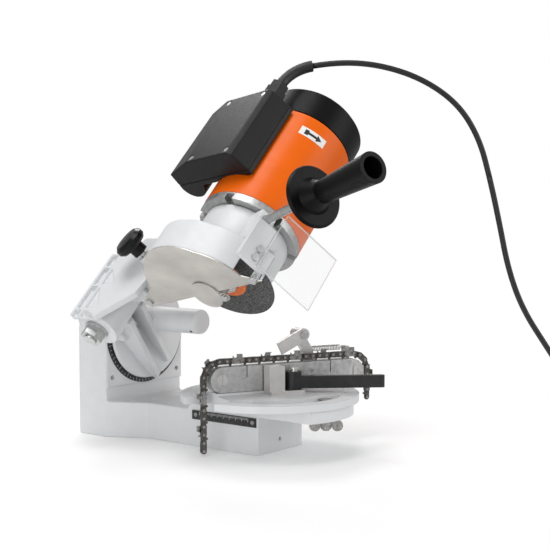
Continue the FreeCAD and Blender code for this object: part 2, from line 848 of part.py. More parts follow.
def clamp_lever(low):
    """Cam lever in its own frame: pin on Z, bar along +X, cam lobe towards the rail."""
    angle = -s.lever_angle.value
    lobe = Rotation(V(0, 0, 1), -angle).multVec(V(0, s.cam_offset.value, 0))
    cam = doc.addObject("Part::Cylinder", "Cam")
    bind(cam, "Radius", s.cam_radius)
    bind(cam, "Height", s.cam_high)
    cam.Placement = Placement(lobe + V(0, 0, low.value), Rotation())
    half = s.lever_bar_thick / 2
    bar_low = low + (s.cam_high - s.lever_bar_high) / 4
    bar = box((0, s.lever_length), (-half - s.cam_offset, half - s.cam_offset),
              (bar_low, bar_low + s.lever_bar_high))
    tip = rod(half, s.lever_bar_high, (s.lever_length, -s.cam_offset, bar_low))
    bore = rod(s.lever_pin_radius + s.running_gap, s.cam_high, (0, 0, low))
    frame = table_frame * Placement(V(s.lever_x.value, -s.lever_out.value, 0), Rotation(V(0, 0, 1), angle))
    node("clamp_lever", frame, cut(fuse(cam, bar, tip), bore))


def chain_stop(pad_top, rail_z):
    pawl_z = rail_z + s.pawl_rise
    spring_z = rail_z + s.spring_rise
    rear = s.rail_slot / 2 + s.rail_thick + s.post_gap
    y = (rear, rear + s.post_thick)
    half = s.post_width / 2
    lean = [(s.post_x - half, pad_top), (s.post_x + half, pad_top), (s.post_x + half * 0.7, spring_z),
            (s.pawl_x + s.pawl_hub_radius, pawl_z), (s.pawl_x - s.pawl_hub_radius, pawl_z),
            (s.post_x - half, spring_z)]
    head = rod(s.pawl_hub_radius, s.post_thick, (s.pawl_x, y[0], pawl_z), "Y")
    bore = rod(s.pawl_pin_radius + s.fixed_gap, s.post_thick, (s.pawl_x, y[0], pawl_z), "Y")
    peg = rod(s.spring_wire_radius * 2, s.spring_coil_radius * 2, (s.spring_start - 3, y[1], spring_z), "Y")
    post = fuse(prism(lean, y[0], y[1], "XZ_Plane"), head)
    node("stop_post", table_frame, fuse(cut(post, bore), peg))
    front = -s.pawl_thick / 2
    hub_end = y[0] - s.face_gap
    pin_start = front - s.circlip_thick - s.face_gap * 2
    pin = fuse(rod(s.pawl_pin_radius, y[1] - pin_start, (s.pawl_x, pin_start, pawl_z), "Y"),
               rod(s.pawl_pin_head_radius, s.pawl_pin_radius, (s.pawl_x, y[1], pawl_z), "Y"))
    circlip = ring(s.circlip_radius, s.pawl_pin_radius + s.fixed_gap, s.circlip_thick,
                   (s.pawl_x, front - s.circlip_thick - s.face_gap, pawl_z), "Y")
    node("pawl_pin", table_frame, pin, circlip)
    half_width = s.pawl_width / 2
    strip = box((-s.pawl_length, 0), (front, s.pawl_thick / 2), (-half_width, half_width))
    heel = rod(half_width, s.pawl_thick, (0, front, 0), "Y")
    hub = rod(s.pawl_hub_radius, hub_end - front, (0, front, 0), "Y")
    hole = rod(s.pawl_pin_radius + s.running_gap, hub_end - front, (0, front, 0), "Y")
    tilt = Rotation(V(0, 1, 0), -s.pawl_slope.value)
    frame = table_frame * Placement(V(s.pawl_x.value, 0, pawl_z.value), tilt)
    node("stop_pawl", frame, cut(fuse(strip, heel, hub), hole))
    spring_y = y[1] + s.spring_coil_radius + s.spring_wire_radius
    coil = helix("pawl spring", s.spring_coil_radius.value, s.spring_wire_radius.value,
                 s.spring_start.value, s.spring_end.value, s.spring_turns.value)
    frame = table_frame * Placement(V(0, spring_y.value, spring_z.value), Rotation())
    node("stop_spring", frame, feature(coil))


# Chain sample held in the vise


def chain_points(rail_z):
    """Rivet centres along the vise: up the left strand, over the rails, down the right strand."""
    bend = s.rail_radius.value + s.chain_rise.value
    left, right = -s.rail_left.value, s.rail_right.value + s.chain_overrun.value
    z = rail_z.value
    pitch = s.chain_pitch.value
    quarter = bend * math.pi / 2
    span = right - left
    left_drop = z - s.chain_end_z.value
    total = left_drop + quarter + span + quarter + s.chain_right_drop.value
    points = []
    for i in range(int(total / pitch) + 1):
        run = i * pitch - left_drop
        if run < 0:
            points.append(V(left - bend, 0, z + run))
        elif run < quarter:
            angle = math.pi - run / bend
            points.append(V(left + bend * math.cos(angle), 0, z + bend * math.sin(angle)))
        elif run < quarter + span:
            points.append(V(left + run - quarter, 0, z + bend))
        elif run < 2 * quarter + span:
            angle = math.pi / 2 - (run - quarter - span) / bend
            points.append(V(right + bend * math.cos(angle), 0, z + bend * math.sin(angle)))
        else:
            points.append(V(right + bend, 0, z - (run - 2 * quarter - span)))
    return points


def link_plate(start, end, thick, y, extra=()):
    """Flat link with two rivet holes, and any extra faces fused to its outline."""
    along = (end - start).normalize()
    radius = s.link_radius.value
    across = V(-along.z, 0, along.x)
    corners = [start + across * radius, end + across * radius, end - across * radius, start - across * radius]
    faces = [Part.Face(Part.makePolygon(corners + corners[:1]))]
    faces += [Part.Face(Part.Wire(Part.Circle(p, V(0, 1, 0), radius).toShape())) for p in (start, end)]
    for extra_corners in extra:
        shape = [start + along * a + across * b for a, b in extra_corners]
        faces.append(Part.Face(Part.makePolygon(shape + shape[:1])))
    outline = faces[0].multiFuse(faces[1:]).removeSplitter()
    hole = s.rivet_pin_radius.value + s.rivet_hole_gap.value
    holes = [Part.Face(Part.Wire(Part.Circle(p, V(0, 1, 0), hole).toShape())) for p in (start, end)]
    plate = outline.cut(holes).extrude(V(0, thick, 0))
    plate.translate(V(0, y, 0))
    return plate.Solids[0]


def chain_sample(rail_z):
    points = chain_points(rail_z)
    pitch, thick, strap = s.chain_pitch.value, s.link_thick.value, s.strap_thick.value
    strap_y = thick / 2 + s.strap_gap.value
    radius, rise, top_thick = s.link_radius.value, s.cutter_rise.value, s.cutter_top_thick.value
    deep = -s.tang_deep.value
    tang = [(0.15 * pitch, 0), (0.85 * pitch, 0), (0.6 * pitch, deep), (0.4 * pitch, deep)]
    tooth = [(-0.2 * pitch, radius + rise * 0.7), (0.05 * pitch, radius), (0.3 * pitch, radius),
             (0.45 * pitch, radius + rise), (1.1 * pitch, radius + rise), (1.1 * pitch, 0), (-0.2 * pitch, 0)]
    drives, straps, cutters, rivets = [], [], [], []
    for i, (start, end) in enumerate(zip(points, points[1:])):
        if i % 2:
            drives.append(link_plate(start, end, thick, -thick / 2, [tang]))
            continue
        sides = (strap_y, -strap_y - strap)
        cutter_side = {1: 0, 3: 1}.get((i // 2) % 4)
        for side, y in enumerate(sides):
            if side != cutter_side:
                straps.append(link_plate(start, end, strap, y))
                continue
            plate = link_plate(start, end, strap, y, [tooth])
            along = (end - start).normalize()
            across = V(-along.z, 0, along.x)
            inward = -strap_y if side == 0 else strap_y
            corners = [start + along * a + across * (radius + rise - top_thick * b)
                       for a, b in ((0.45 * pitch, 0), (1.1 * pitch, 0), (1.1 * pitch, 1), (0.45 * pitch, 1))]
            roof = Part.Face(Part.makePolygon(corners + corners[:1])).extrude(V(0, inward * 3, 0))
            roof.translate(V(0, strap_y if side == 0 else -strap_y, 0))
            cutters.append(plate.fuse(roof).removeSplitter().Solids[0])
    half = strap_y + strap + strap / 3
    for p in points:
        rivets.append(Part.makeCylinder(s.rivet_pin_radius.value, 2 * half, p - V(0, half, 0), V(0, 1, 0)))
    node("chain_links", table_frame, *[feature(x) for x in drives + straps])
    node("chain_cutters", table_frame, *[feature(x) for x in cutters])
    node("chain_rivets", table_frame, *[feature(x) for x in rivets])


# Swivel


def swivel_bracket():
    disc_end = s.disc_front + s.disc_thick
    disc = rod(s.disc_radius, s.disc_thick, (0, s.disc_front, 0), "Y")
    hub = rod(s.scale_radius - s.scale_width - s.face_gap, s.disc_hub_thick, (0, disc_end, 0), "Y")
    barrel = rod(s.barrel_radius, s.barrel_left - s.barrel_right, (-s.barrel_left, s.hinge_y, s.hinge_u), "X")
    neck = box((-s.barrel_left, -s.barrel_right), (s.hinge_y + s.barrel_radius / 2, disc_end),
               (s.disc_radius / 2, s.hinge_u))
    ribs = []
    for x in (-s.rib_left - s.rib_thick / 2, -s.rib_right - s.rib_thick):
        fin = [(s.disc_front, -s.disc_radius * 0.85), (s.disc_front - s.rib_thick, -s.disc_radius * 0.8),
               (s.hinge_y - s.barrel_radius / 2, s.hinge_u - s.barrel_radius * 1.5),
               (s.hinge_y + s.barrel_radius / 2, s.hinge_u - s.barrel_radius * 0.8),
               (s.disc_front, s.hinge_u - s.barrel_radius * 0.8)]
        ribs.append(prism(fin, x, x + s.rib_thick, "YZ_Plane"))
    bar_length = s.disc_front - s.stop_bar_end - s.stop_bar_chamfer
    at = (s.stop_bar_x, s.stop_bar_end + s.stop_bar_chamfer, s.stop_bar_u)
    bar = rod(s.stop_bar_radius, bar_length, at, "Y")
    nose = taper(s.stop_bar_radius, s.stop_bar_radius - s.stop_bar_chamfer, s.stop_bar_chamfer, at, "-Y")
    cross = rod(s.cross_hole_radius, s.stop_bar_radius, (s.stop_bar_x, s.stop_bar_end + s.stop_bar_radius,
                                                         s.stop_bar_u), "-Z")
    stud_hole = rod(s.stud_radius + s.fixed_gap, disc_end + s.disc_hub_thick - s.disc_front + s.stud_deep,
                    (0, s.disc_front - s.stud_deep, 0), "Y")
    bore = rod(s.hinge_bolt_radius + s.fixed_gap, s.barrel_left - s.barrel_right,
               (-s.barrel_left, s.hinge_y, s.hinge_u), "X")
    solid = cut(fuse(disc, hub, barrel, neck, bar, nose, *ribs), cross, stud_hole, bore)
    node("swivel_bracket", swivel_frame, solid)
    stud = rod(s.stud_radius, s.stud_end - s.disc_front + s.stud_deep - s.face_gap,
               (0, s.disc_front - s.stud_deep + s.face_gap, 0), "Y")
    node("swivel_stud", swivel_frame, stud)
    washer_y = s.wall_boss_end + s.face_gap
    bore_radius = s.stud_radius + s.fixed_gap
    washer = ring(s.washer_radius, bore_radius, s.washer_thick, (0, washer_y, 0), "Y")
    nut_y = washer_y + s.washer_thick
    nut = cut(hexagon(s.nut_flats, s.nut_high, (0, nut_y, 0), "Y"),
              rod(bore_radius, s.nut_high, (0, nut_y, 0), "Y"))
    node("swivel_nut", swivel_frame, washer, nut)


def hinge():
    frame = swivel_frame * Placement(V(0, s.hinge_y.value, s.hinge_u.value), Rotation())
    head = s.cheek_right + s.face_gap
    bolt = fuse(rod(s.hinge_bolt_radius, head + s.hinge_bolt_end, (-s.hinge_bolt_end, 0, 0), "X"),
                hexagon(s.nut_flats, s.nut_high * 0.8, (head, 0, 0), "X"))
    node("hinge_bolt", frame, bolt)
    washer_x = -s.cheek_left - s.face_gap - s.washer_thick
    bore = s.hinge_bolt_radius + s.fixed_gap
    washer = ring(s.washer_radius, bore, s.washer_thick, (washer_x, 0, 0), "X")
    nut_x = washer_x - s.nut_high
    nut = cut(hexagon(s.nut_flats, s.nut_high, (nut_x, 0, 0), "X"), rod(bore, s.nut_high, (nut_x, 0, 0), "X"))
    node("hinge_nut", frame, washer, nut)
    coil = helix("lift spring", s.lift_coil_radius.value, s.lift_wire_radius.value,
                 -s.barrel_right.value + s.lift_wire_radius.value + s.face_gap.value,
                 -s.lift_wire_radius.value - s.face_gap.value, s.lift_turns.value)
    node("lift_spring", frame, feature(coil))


# Arm and head


def arm_casting():
    tilt = Rotation(V(1, 0, 0), s.web_slope.value)
    inner_x = s.guard_back + s.face_gap
    web = [(-s.arm_left, s.arm_back), (s.cheek_right, s.arm_back), (s.cheek_right, 0),
           (s.beam_right, -s.beam_back), (s.beam_right, -s.arm_front), (inner_x, -s.arm_front),
           (inner_x, -s.web_front), (-s.web_corner_x, -s.web_corner_y), (-s.arm_left, -s.web_left_y)]
    row_y = s.arm_back - s.pocket_rib - s.pocket_row
    point = row_y - s.pocket_rib
    floor = s.web_high - s.pocket_deep
    pockets = []
    x = -s.arm_left
    for row in (s.pocket_end_row, s.pocket_long_row, s.pocket_mid_row):
        cell = (x, x + row - s.pocket_rib)
        pockets.append(box(cell, (row_y, row_y + s.pocket_row), (floor, s.web_high)))
        triangle = [(cell[0], point), (cell[1], point), (cell[0] + s.pocket_rib, point - s.pocket_point),
                    (cell[0], point - s.pocket_point)]
        pockets.append(prism(triangle, floor, s.web_high))
        x = x + row
    pockets.append(box((x, s.cheek_right - s.pocket_rib), (row_y, row_y + s.pocket_row), (floor, s.web_high)))
    plate = cut(prism(web, s.web_low, s.web_high), *pockets)
    sloped = doc.addObject("Part::Compound", "Web")
    sloped.Links = [plate]
    sloped.Placement = Placement(V(0, 0, 0), tilt)
    left = (-s.cheek_left, -s.barrel_left - s.cheek_gap)
    right = (s.cheek_gap, s.cheek_right)
    cheeks = [rod(s.cheek_radius, x[1] - x[0], (x[0], 0, 0), "X") for x in (left, right)]
    shell_x = (left[1] - s.cheek_gap, right[0] + s.cheek_gap)
    barrel_room = s.barrel_radius + s.shell_gap
    sector = rod(s.shell_radius, shell_x[1] - shell_x[0], (shell_x[0], 0, 0), "X", sector=s.shell_sweep)
    shell = cut(turned_copy(sector, (0, 0, 0), V(1, 0, 0), 180),
                rod(barrel_room, shell_x[1] - shell_x[0], (shell_x[0], 0, 0), "X"))
    beam = [(-s.beam_back, s.web_low * 0.8), (-s.beam_back, -s.web_low),
            (-s.beam_back * 3.4, -s.web_low * 2.2), (-s.spindle_y + s.neck_radius, -s.beam_low),
            (-s.arm_front, -s.beam_low), (-s.arm_front, -s.web_high), (-s.beam_back * 3, 0)]
    strut = prism(beam, s.beam_left, s.beam_right, "YZ_Plane")
    wall_front = -s.guard_rear_low + s.face_gap
    wall_back = -s.barrel_radius - s.shell_gap
    wall = [(wall_back, s.web_low * 0.8), (wall_back, -s.web_low * 0.6),
            (wall_front, -s.guard_low_z), (wall_front, s.shell_gap)]
    side_wall = prism(wall, -s.side_wall_left, -s.side_wall_left + s.side_wall_thick, "YZ_Plane")
    boss_at = (s.depth_x, -s.depth_y, s.depth_boss_low)
    boss = rod(s.depth_boss_radius, s.depth_boss_high - s.depth_boss_low, boss_at)
    thread = rod(s.depth_radius + s.running_gap, s.web_high * 2, (s.depth_x, -s.depth_y, -s.web_high))
    saddle = rod(s.neck_radius + s.face_gap, s.neck_end - s.guard_back,
                 (s.guard_back, -s.spindle_y, -s.spindle_z), "X")
    bush_radius = s.hinge_bolt_radius + s.running_gap + s.bush_wall + s.fixed_gap
    bores = [rod(bush_radius, x[1] - x[0], (x[0], 0, 0), "X") for x in (left, right)]
    solid = cut(fuse(sloped, strut, side_wall, boss, shell, *cheeks), thread, saddle, *bores)
    node("arm_casting", arm_frame, solid)
    bush_bore = s.hinge_bolt_radius + s.running_gap
    bushes = [ring(bush_radius - s.fixed_gap, bush_bore, x[1] - x[0], (x[0], 0, 0), "X")
              for x in (left, right)]
    node("hinge_bushes", arm_frame, *bushes)


def drawn_in(before, corner, after, inset):
    """Outline corner moved in so that both of its edges move in by the inset."""
    along, on = (corner - before).normalize(), (after - corner).normalize()
    inward = (on - along).normalize()
    return corner + inward * (inset / inward.cross(along).Length)


def guard_points(offset):
    """Outline of the wheel guard seen along the spindle, drawn in by an offset."""
    inset = offset.value if isinstance(offset, Size) else offset
    y, z = -s.spindle_y.value, -s.spindle_z.value
    radius = s.guard_front_radius.value - inset
    top = s.guard_top_z.value - inset
    top_y = -s.guard_top_y.value
    angles = [math.radians(a) for a in (5, 28, 52)]
    rays = [V(0, -math.cos(a), math.sin(a)) for a in angles]
    centre = V(0, y, z)
    front = [centre + ray * radius for ray in rays]
    mid = V(0, -s.guard_rear_mid.value - inset, 0)
    shoulder = V(0, (mid.y + top_y) / 2 - 2, top - (top - mid.z) * 0.22)
    outer_tip = V(0, -s.guard_tip_y.value, -s.guard_tip_z.value)
    outer_low = V(0, -s.guard_rear_low.value, -s.guard_low_z.value)
    tip = drawn_in(centre + rays[0] * s.guard_front_radius.value, outer_tip, outer_low, inset)
    low = drawn_in(outer_tip, outer_low, outer_low + V(0, 0, s.guard_lip.value), inset)
    return SimpleNamespace(front=front, mid=mid, shoulder=shoulder, top=V(0, top_y, top), tip=tip, low=low)


def guard_prism(start, end, offset=0):
    g = guard_points(offset)
    lip = g.low + V(0, 0, s.guard_lip.value)
    crown = Part.Arc(g.top, (g.top + g.front[2]) * 0.5 + V(0, -4, 7), g.front[2])
    edges = [Part.LineSegment(g.tip, g.low), Part.LineSegment(g.low, lip), Part.LineSegment(lip, g.mid),
             Part.Arc(g.mid, g.shoulder, g.top), crown, Part.Arc(g.front[2], g.front[1], g.front[0]),
             Part.LineSegment(g.front[0], g.tip)]
    face = Part.Face(Part.Wire([e.toShape() for e in edges]))
    solid = face.extrude(V(end.value - start.value, 0, 0))
    solid.translate(V(start.value, 0, 0))
    return feature(solid)


def screw(at, along):
    """Slotted pan-head screw: head towards the given direction's back, shank along it."""
    back = {"X": V(-1, 0, 0), "Y": V(0, -1, 0), "Z": V(0, 0, -1), "-Z": V(0, 0, 1)}[along]
    head_at = [a + s.screw_head_high * k for a, k in zip(at, back)]
    head = rod(s.screw_head_radius, s.screw_head_high, head_at, along)
    shank = rod(s.screw_radius, s.screw_long, at, along)
    return fuse(head, shank)


def screw_hole(at, along):
    return rod(s.screw_radius + s.fixed_gap, s.screw_long + s.face_gap, at, along)


def wheel_guard():
    start, end = -s.cover_station + s.cover_thick, s.guard_back
    axis = (-s.spindle_y, -s.spindle_z)
    shell = guard_prism(start, end)
    hollow = guard_prism(start, end - s.guard_wall, s.guard_wall)
    mouth_y = (-s.guard_tip_y + s.guard_wall, -s.spindle_y + s.wheel_radius + s.guard_wall)
    mouth = box((start, end - s.guard_wall), mouth_y, (-s.spindle_z - s.wheel_radius, -s.guard_low_z))
    neck = rod(s.neck_radius, s.neck_end - end + s.guard_wall, (end - s.guard_wall, *axis), "X")
    neck_bore = rod(s.neck_radius - s.neck_wall, s.neck_end - end, (end, *axis), "X")
    shaft_hole = rod(s.flange_radius + s.face_gap * 2, s.guard_wall, (end - s.guard_wall, *axis), "X")
    lugs = []
    lug_places = [(-s.guard_tip_y + s.screw_head_radius * 2.2, -s.guard_tip_z + s.screw_head_radius * 1.2),
                  (-s.guard_rear_low - s.screw_head_radius * 1.6, -s.guard_low_z + s.screw_head_radius * 1.6)]
    for y, z in lug_places:
        post = rod(s.screw_head_radius, s.screw_long + s.guard_wall, (start, y, z), "X")
        lugs.append(common(post, guard_prism(start, end)))
    bolts = [screw_hole((-s.cover_station, y, z), "X") for y, z in lug_places]
    solid = cut(fuse(cut(shell, hollow, mouth), neck, *lugs), neck_bore, shaft_hole, *bolts)
    node("wheel_guard", arm_frame, solid)
    cover = guard_prism(-s.cover_station, start)
    hatch_hole = rod(s.hatch_hole_radius, s.cover_thick, (-s.cover_station, *axis), "X")
    hatch_at = (-s.cover_station, -s.hatch_screw_y, -s.hatch_screw_z)
    cover_holes = bolts + [screw_hole(hatch_at, "X")]
    node("guard_cover", arm_frame, cut(cover, hatch_hole, *cover_holes))
    hatch_start = -s.cover_station - s.face_gap - s.hatch_thick
    pivot_at = (hatch_start, -s.hatch_screw_y, -s.hatch_screw_z)
    ear = rod(s.screw_head_radius * 1.4, s.hatch_thick, pivot_at, "X")
    plate = rod(s.hatch_radius, s.hatch_thick, (hatch_start, -s.hatch_y, -s.hatch_z), "X")
    pivot = rod(s.screw_radius + s.running_gap, s.hatch_thick, pivot_at, "X")
    node("hub_hatch", arm_frame, cut(fuse(plate, ear), pivot))
    screws = [screw((-s.cover_station, y, z), "X") for y, z in lug_places]
    hatch_screw = fuse(rod(s.screw_head_radius, s.screw_head_high,
                           (hatch_start - s.face_gap - s.screw_head_high, *hatch_at[1:]), "X"),
                       rod(s.screw_radius, s.hatch_thick + s.face_gap * 2 + s.cover_thick,
                           (hatch_start - s.face_gap, *hatch_at[1:]), "X"))
    bracket_screws = [screw((x, -s.bracket_front - s.bracket_thick, -s.bracket_low + s.bracket_drop / 2), "Y")
                      for x in bracket_screw_places()]
    node("guard_screws", arm_frame, *screws, hatch_screw, *bracket_screws)


def bracket_screw_places():
    return [-s.bracket_left + s.screw_head_radius * 2, -s.bracket_left + s.screw_head_radius * 4.5]


def motor():
    air = s.rotor_radius + s.rotor_air_gap
    shaft_gap = s.shaft_radius + s.running_gap
    seat = s.bearing_radius + s.fixed_gap
    inner = s.tube_radius - s.tube_wall
    front_seat = (s.tube_start, s.tube_start + s.bearing_width)
    rear_start = s.tube_end - s.rear_bell_thick
    tube_long = s.tube_end - s.tube_start
    node("motor_tube", spindle_frame, ring(s.tube_radius, inner, tube_long, (0, 0, s.tube_start)))
    web_end = s.tube_start + s.tube_wall
    flange = [(seat, s.neck_end + s.face_gap), (bell_radius, s.neck_end + s.face_gap),
              (bell_radius, s.tube_start), (inner - s.fixed_gap, s.tube_start),
              (inner - s.fixed_gap, front_seat[1]), (inner - s.tube_wall, front_seat[1]),
              (inner - s.tube_wall, web_end), (seat + s.tube_wall, web_end),
              (seat + s.tube_wall, front_seat[1]), (seat, front_seat[1])]
    notch_z = s.neck_end + s.face_gap
    notch_deep = (s.tube_start - notch_z) * 0.75
    notch = box((s.neck_radius - s.neck_wall, bell_radius), (-s.neck_wall, s.neck_wall),
                (notch_z, notch_z + notch_deep))
    notches = [turned_copy(notch, (0, 0, 0), V(0, 0, 1), 60 * k + 30) for k in range(6)]
    node("front_bell", spindle_frame, cut(turned(flange), *notches))
    stator = ring(inner - s.fixed_gap, air, s.stator_end - s.stator_start, (0, 0, s.stator_start))
    node("stator_core", spindle_frame, stator)
    rear = [(seat, rear_start), (inner - s.fixed_gap, rear_start), (inner - s.fixed_gap, s.tube_end),
            (seat, s.tube_end)]
    node("rear_bell", spindle_frame, turned(rear))
    bearings = [ring(s.bearing_radius, shaft_gap, s.bearing_width, (0, 0, front_seat[0])),
                ring(s.bearing_radius, shaft_gap, s.rear_bell_thick, (0, 0, rear_start))]
    node("spindle_bearings", spindle_frame, *bearings)
    cap = [(0, s.cap_end), (cap_radius - s.cap_wall * 2, s.cap_end),
           (cap_radius, s.cap_end - s.cap_wall * 2),
           (cap_radius, s.cap_start), (cap_inner, s.cap_start), (cap_inner, s.cap_end - s.cap_wall),
           (0, s.cap_end - s.cap_wall)]
    half_vent = s.vent_width / 2
    vent = box((s.vent_inner, s.vent_outer), (-half_vent, half_vent), (s.cap_end - s.cap_wall, s.cap_end))
    vents = [turned_copy(vent, (0, 0, 0), V(0, 0, 1), 360 * k / s.vent_count.value)
             for k in range(int(s.vent_count.value))]
    lip = ring(cap_inner, inner - s.cap_wall, s.cap_start - s.tube_end + s.cap_wall, (0, 0, s.tube_end))
    node("fan_cap", spindle_frame, cut(fuse(turned(cap), lip), *vents))
    wheel_low = -s.wheel_station - s.wheel_thick / 2
    wheel_high = wheel_low + s.wheel_thick
    nut_low = wheel_low - s.flange_thick - s.spindle_nut_high
    bore = s.shaft_radius + s.fixed_gap
    shaft_low = nut_low - s.flange_thick / 2
    shaft = rod(s.shaft_radius, s.fan_start + s.fan_width - shaft_low, (0, 0, shaft_low))
    node("spindle_shaft", spindle_frame, shaft)
    node("rotor_core", spindle_frame, ring(s.rotor_radius, bore, s.stator_end - s.stator_start,
                                           (0, 0, s.stator_start)))
    node("wheel_flanges", spindle_frame,
         ring(s.flange_radius, bore, s.flange_thick, (0, 0, wheel_low - s.flange_thick)),
         ring(s.flange_radius, bore, s.flange_thick, (0, 0, wheel_high)))
    edge = s.wheel_thick / 2
    rim = [(s.wheel_bore + s.fixed_gap, wheel_low), (s.wheel_radius - edge, wheel_low),
           (s.wheel_radius, wheel_low + edge * 0.8), (s.wheel_radius, wheel_high - edge * 0.8),
           (s.wheel_radius - edge, wheel_high), (s.wheel_bore + s.fixed_gap, wheel_high)]
    node("grinding_wheel", spindle_frame, turned(rim))
    node("spindle_nut", spindle_frame, cut(hexagon(s.spindle_nut_flats, s.spindle_nut_high, (0, 0, nut_low)),
                                           rod(bore, s.spindle_nut_high, (0, 0, nut_low))))
    hub = ring(fan_radius / 3, bore, s.fan_width, (0, 0, s.fan_start))
    disc = ring(fan_radius, bore, s.fan_blade_thick, (0, 0, s.fan_start))
    blade = box((fan_radius / 4, fan_radius), (-s.fan_blade_thick / 2, s.fan_blade_thick / 2),
                (s.fan_start, s.fan_start + s.fan_width))
    blades = [turned_copy(blade, (0, 0, 0), V(0, 0, 1), 360 * k / s.fan_blades.value)
              for k in range(int(s.fan_blades.value))]
    fan_bore = rod(bore, s.fan_width, (0, 0, s.fan_start))
    node("cooling_fan", spindle_frame, cut(fuse(hub, disc, *blades), fan_bore))


def shield_and_handle():
    plate_y = (-s.bracket_front - s.bracket_thick, -s.bracket_front)
    plate = box((-s.bracket_left, s.bracket_right), plate_y, (-s.bracket_low, -s.bracket_high + s.rod_radius))
    foot = box((-s.bracket_left, -s.bracket_left + s.screw_head_radius * 6),
               plate_y, (-s.bracket_low - s.bracket_drop, -s.bracket_low))
    guard_room = guard_prism(-s.cover_station, s.guard_back + s.face_gap, -s.face_gap)
    arm = box((s.guard_back + s.face_gap * 2, s.bracket_right), (-s.bracket_front, -s.spindle_y),
              (-s.bracket_low, -s.bracket_high))
    neck_room = rod(s.neck_radius + s.face_gap, s.neck_end, (s.guard_back, -s.spindle_y, -s.spindle_z), "X")
    rod_start = -s.bracket_front + s.bracket_back
    corner = box((s.bracket_step, s.bracket_right), (plate_y[0], rod_start),
                 (-s.bracket_low, -s.bracket_high + s.rod_radius))
    rod_hole = rod(s.rod_radius + s.fixed_gap, s.rod_deep, (s.handle_x, rod_start, -s.handle_z), "Y")
    holes = [screw_hole((x, plate_y[0], -s.bracket_low + s.bracket_drop / 2), "Y")
             for x in bracket_screw_places()]
    solid = cut(fuse(plate, foot, arm), guard_room, neck_room, corner, rod_hole, *holes)
    node("shield_bracket", arm_frame, solid)
    shield_y = plate_y[0] - s.shield_thick - s.face_gap / 3
    pane = box((-s.shield_left, s.shield_right), (shield_y, shield_y + s.shield_thick),
               (-s.shield_low, -s.bracket_low - s.face_gap * 2))
    node("shield", arm_frame, pane)
    grip_frame = arm_frame * Placement(V(s.handle_x.value, 0, -s.handle_z.value), TURNS["-Y"])
    rod_at = s.bracket_front - s.bracket_back - s.rod_deep + s.face_gap
    bore_end = s.grip_end - s.grip_bore_deep
    rod_long = bore_end - rod_at
    node("handle_rod", grip_frame, rod(s.rod_radius, rod_long, (0, 0, rod_at)))
    disc_end = s.grip_start + s.grip_disc_thick
    bore = s.rod_radius + s.fixed_gap
    thin = s.grip_radius - s.grip_disc_thick / 2
    profile = [(bore, s.grip_start), (s.grip_disc_radius - s.grip_disc_thick / 2, s.grip_start),
               (s.grip_disc_radius, s.grip_start + s.grip_disc_thick / 2),
               (s.grip_disc_radius - s.grip_disc_thick / 2, disc_end),
               (s.grip_radius + s.grip_disc_thick, disc_end), (thin, disc_end + s.grip_disc_thick * 3),
               (s.grip_radius, s.grip_end - s.grip_radius * 2), (s.grip_radius + 1.5, s.grip_end),
               (s.grip_bore, s.grip_end), (s.grip_bore, bore_end), (bore, bore_end)]
    node("handle_grip", grip_frame, turned(profile))


def lid_profile(inset):
    chamfer = s.box_chamfer
    return [(-s.box_front - s.box_lip + inset, s.box_seam),
            (-s.box_front + inset, s.box_top - chamfer - inset),
            (-s.box_front + chamfer + inset, s.box_top - inset), (s.box_ridge, s.box_top - inset),
            (s.box_back - inset, s.box_back_top - inset), (s.box_back - inset, s.box_seam)]


def terminal_box():
    station = (s.box_start, s.box_end)
    motor_room = rod(s.tube_radius + s.saddle_gap, s.cap_end, (0, 0, -s.tube_radius), "X")
    tray_top = s.box_seam - s.face_gap / 3
    tray = box(station, (-s.box_front - s.box_lip, s.box_back), (-s.box_sink, tray_top))
    can_at = (s.box_start + s.bulge_radius, s.capacitor_across, -s.capacitor_sink)
    bulge = cut(rod(s.bulge_radius, s.box_end - s.box_start, (s.box_start, *can_at[1:]), "X"),
                box(station, (0, s.box_back + s.bulge_radius), (tray_top, s.box_top)))
    can = rod(s.capacitor_radius + s.fixed_gap, s.capacitor_length, can_at, "X")
    node("terminal_tray", box_frame, cut(fuse(tray, bulge), motor_room, can))
    node("capacitor", box_frame, rod(s.capacitor_radius, s.capacitor_length - s.face_gap, can_at, "X"))
    shell = prism(lid_profile(0), s.box_start, s.box_end, "YZ_Plane")
    hollow = prism(lid_profile(s.box_wall), s.box_start + s.box_wall, s.box_end - s.box_wall, "YZ_Plane")
    corners = [(x, y) for x in (s.box_start + s.box_screw_inset, s.box_end - s.box_screw_inset)
               for y in (-s.box_front + s.box_screw_inset + s.box_wall, s.box_ridge - s.box_screw_inset)]
    sink = s.box_screw_radius * 0.6
    pillars = [rod(s.box_screw_radius * 1.5, s.box_top - s.box_seam - s.box_wall / 2, (x, y, s.box_seam))
               for x, y in corners]
    seats = [rod(s.box_screw_radius + s.fixed_gap, sink, (x, y, s.box_top - sink)) for x, y in corners]
    gland_hole = rod(s.gland_flats * 0.35 + s.fixed_gap, s.box_wall,
                     (s.box_end - s.box_wall, -s.gland_across, s.gland_out), "X")
    half_long, half_wide = s.switch_long / 2, s.switch_wide / 2
    window = box((s.switch_station - half_long, s.switch_station + half_long),
                 (s.box_back - s.box_wall, s.box_back), (s.switch_out - half_wide, s.switch_out + half_wide))
    lid = fuse(cut(shell, hollow), *pillars)
    node("terminal_lid", box_frame, cut(lid, motor_room, can, gland_hole, window, *seats))
    screws = [rod(s.box_screw_radius, sink * 0.8, (x, y, s.box_top - sink)) for x, y in corners]
    node("lid_screws", box_frame, *screws)
    rocker()


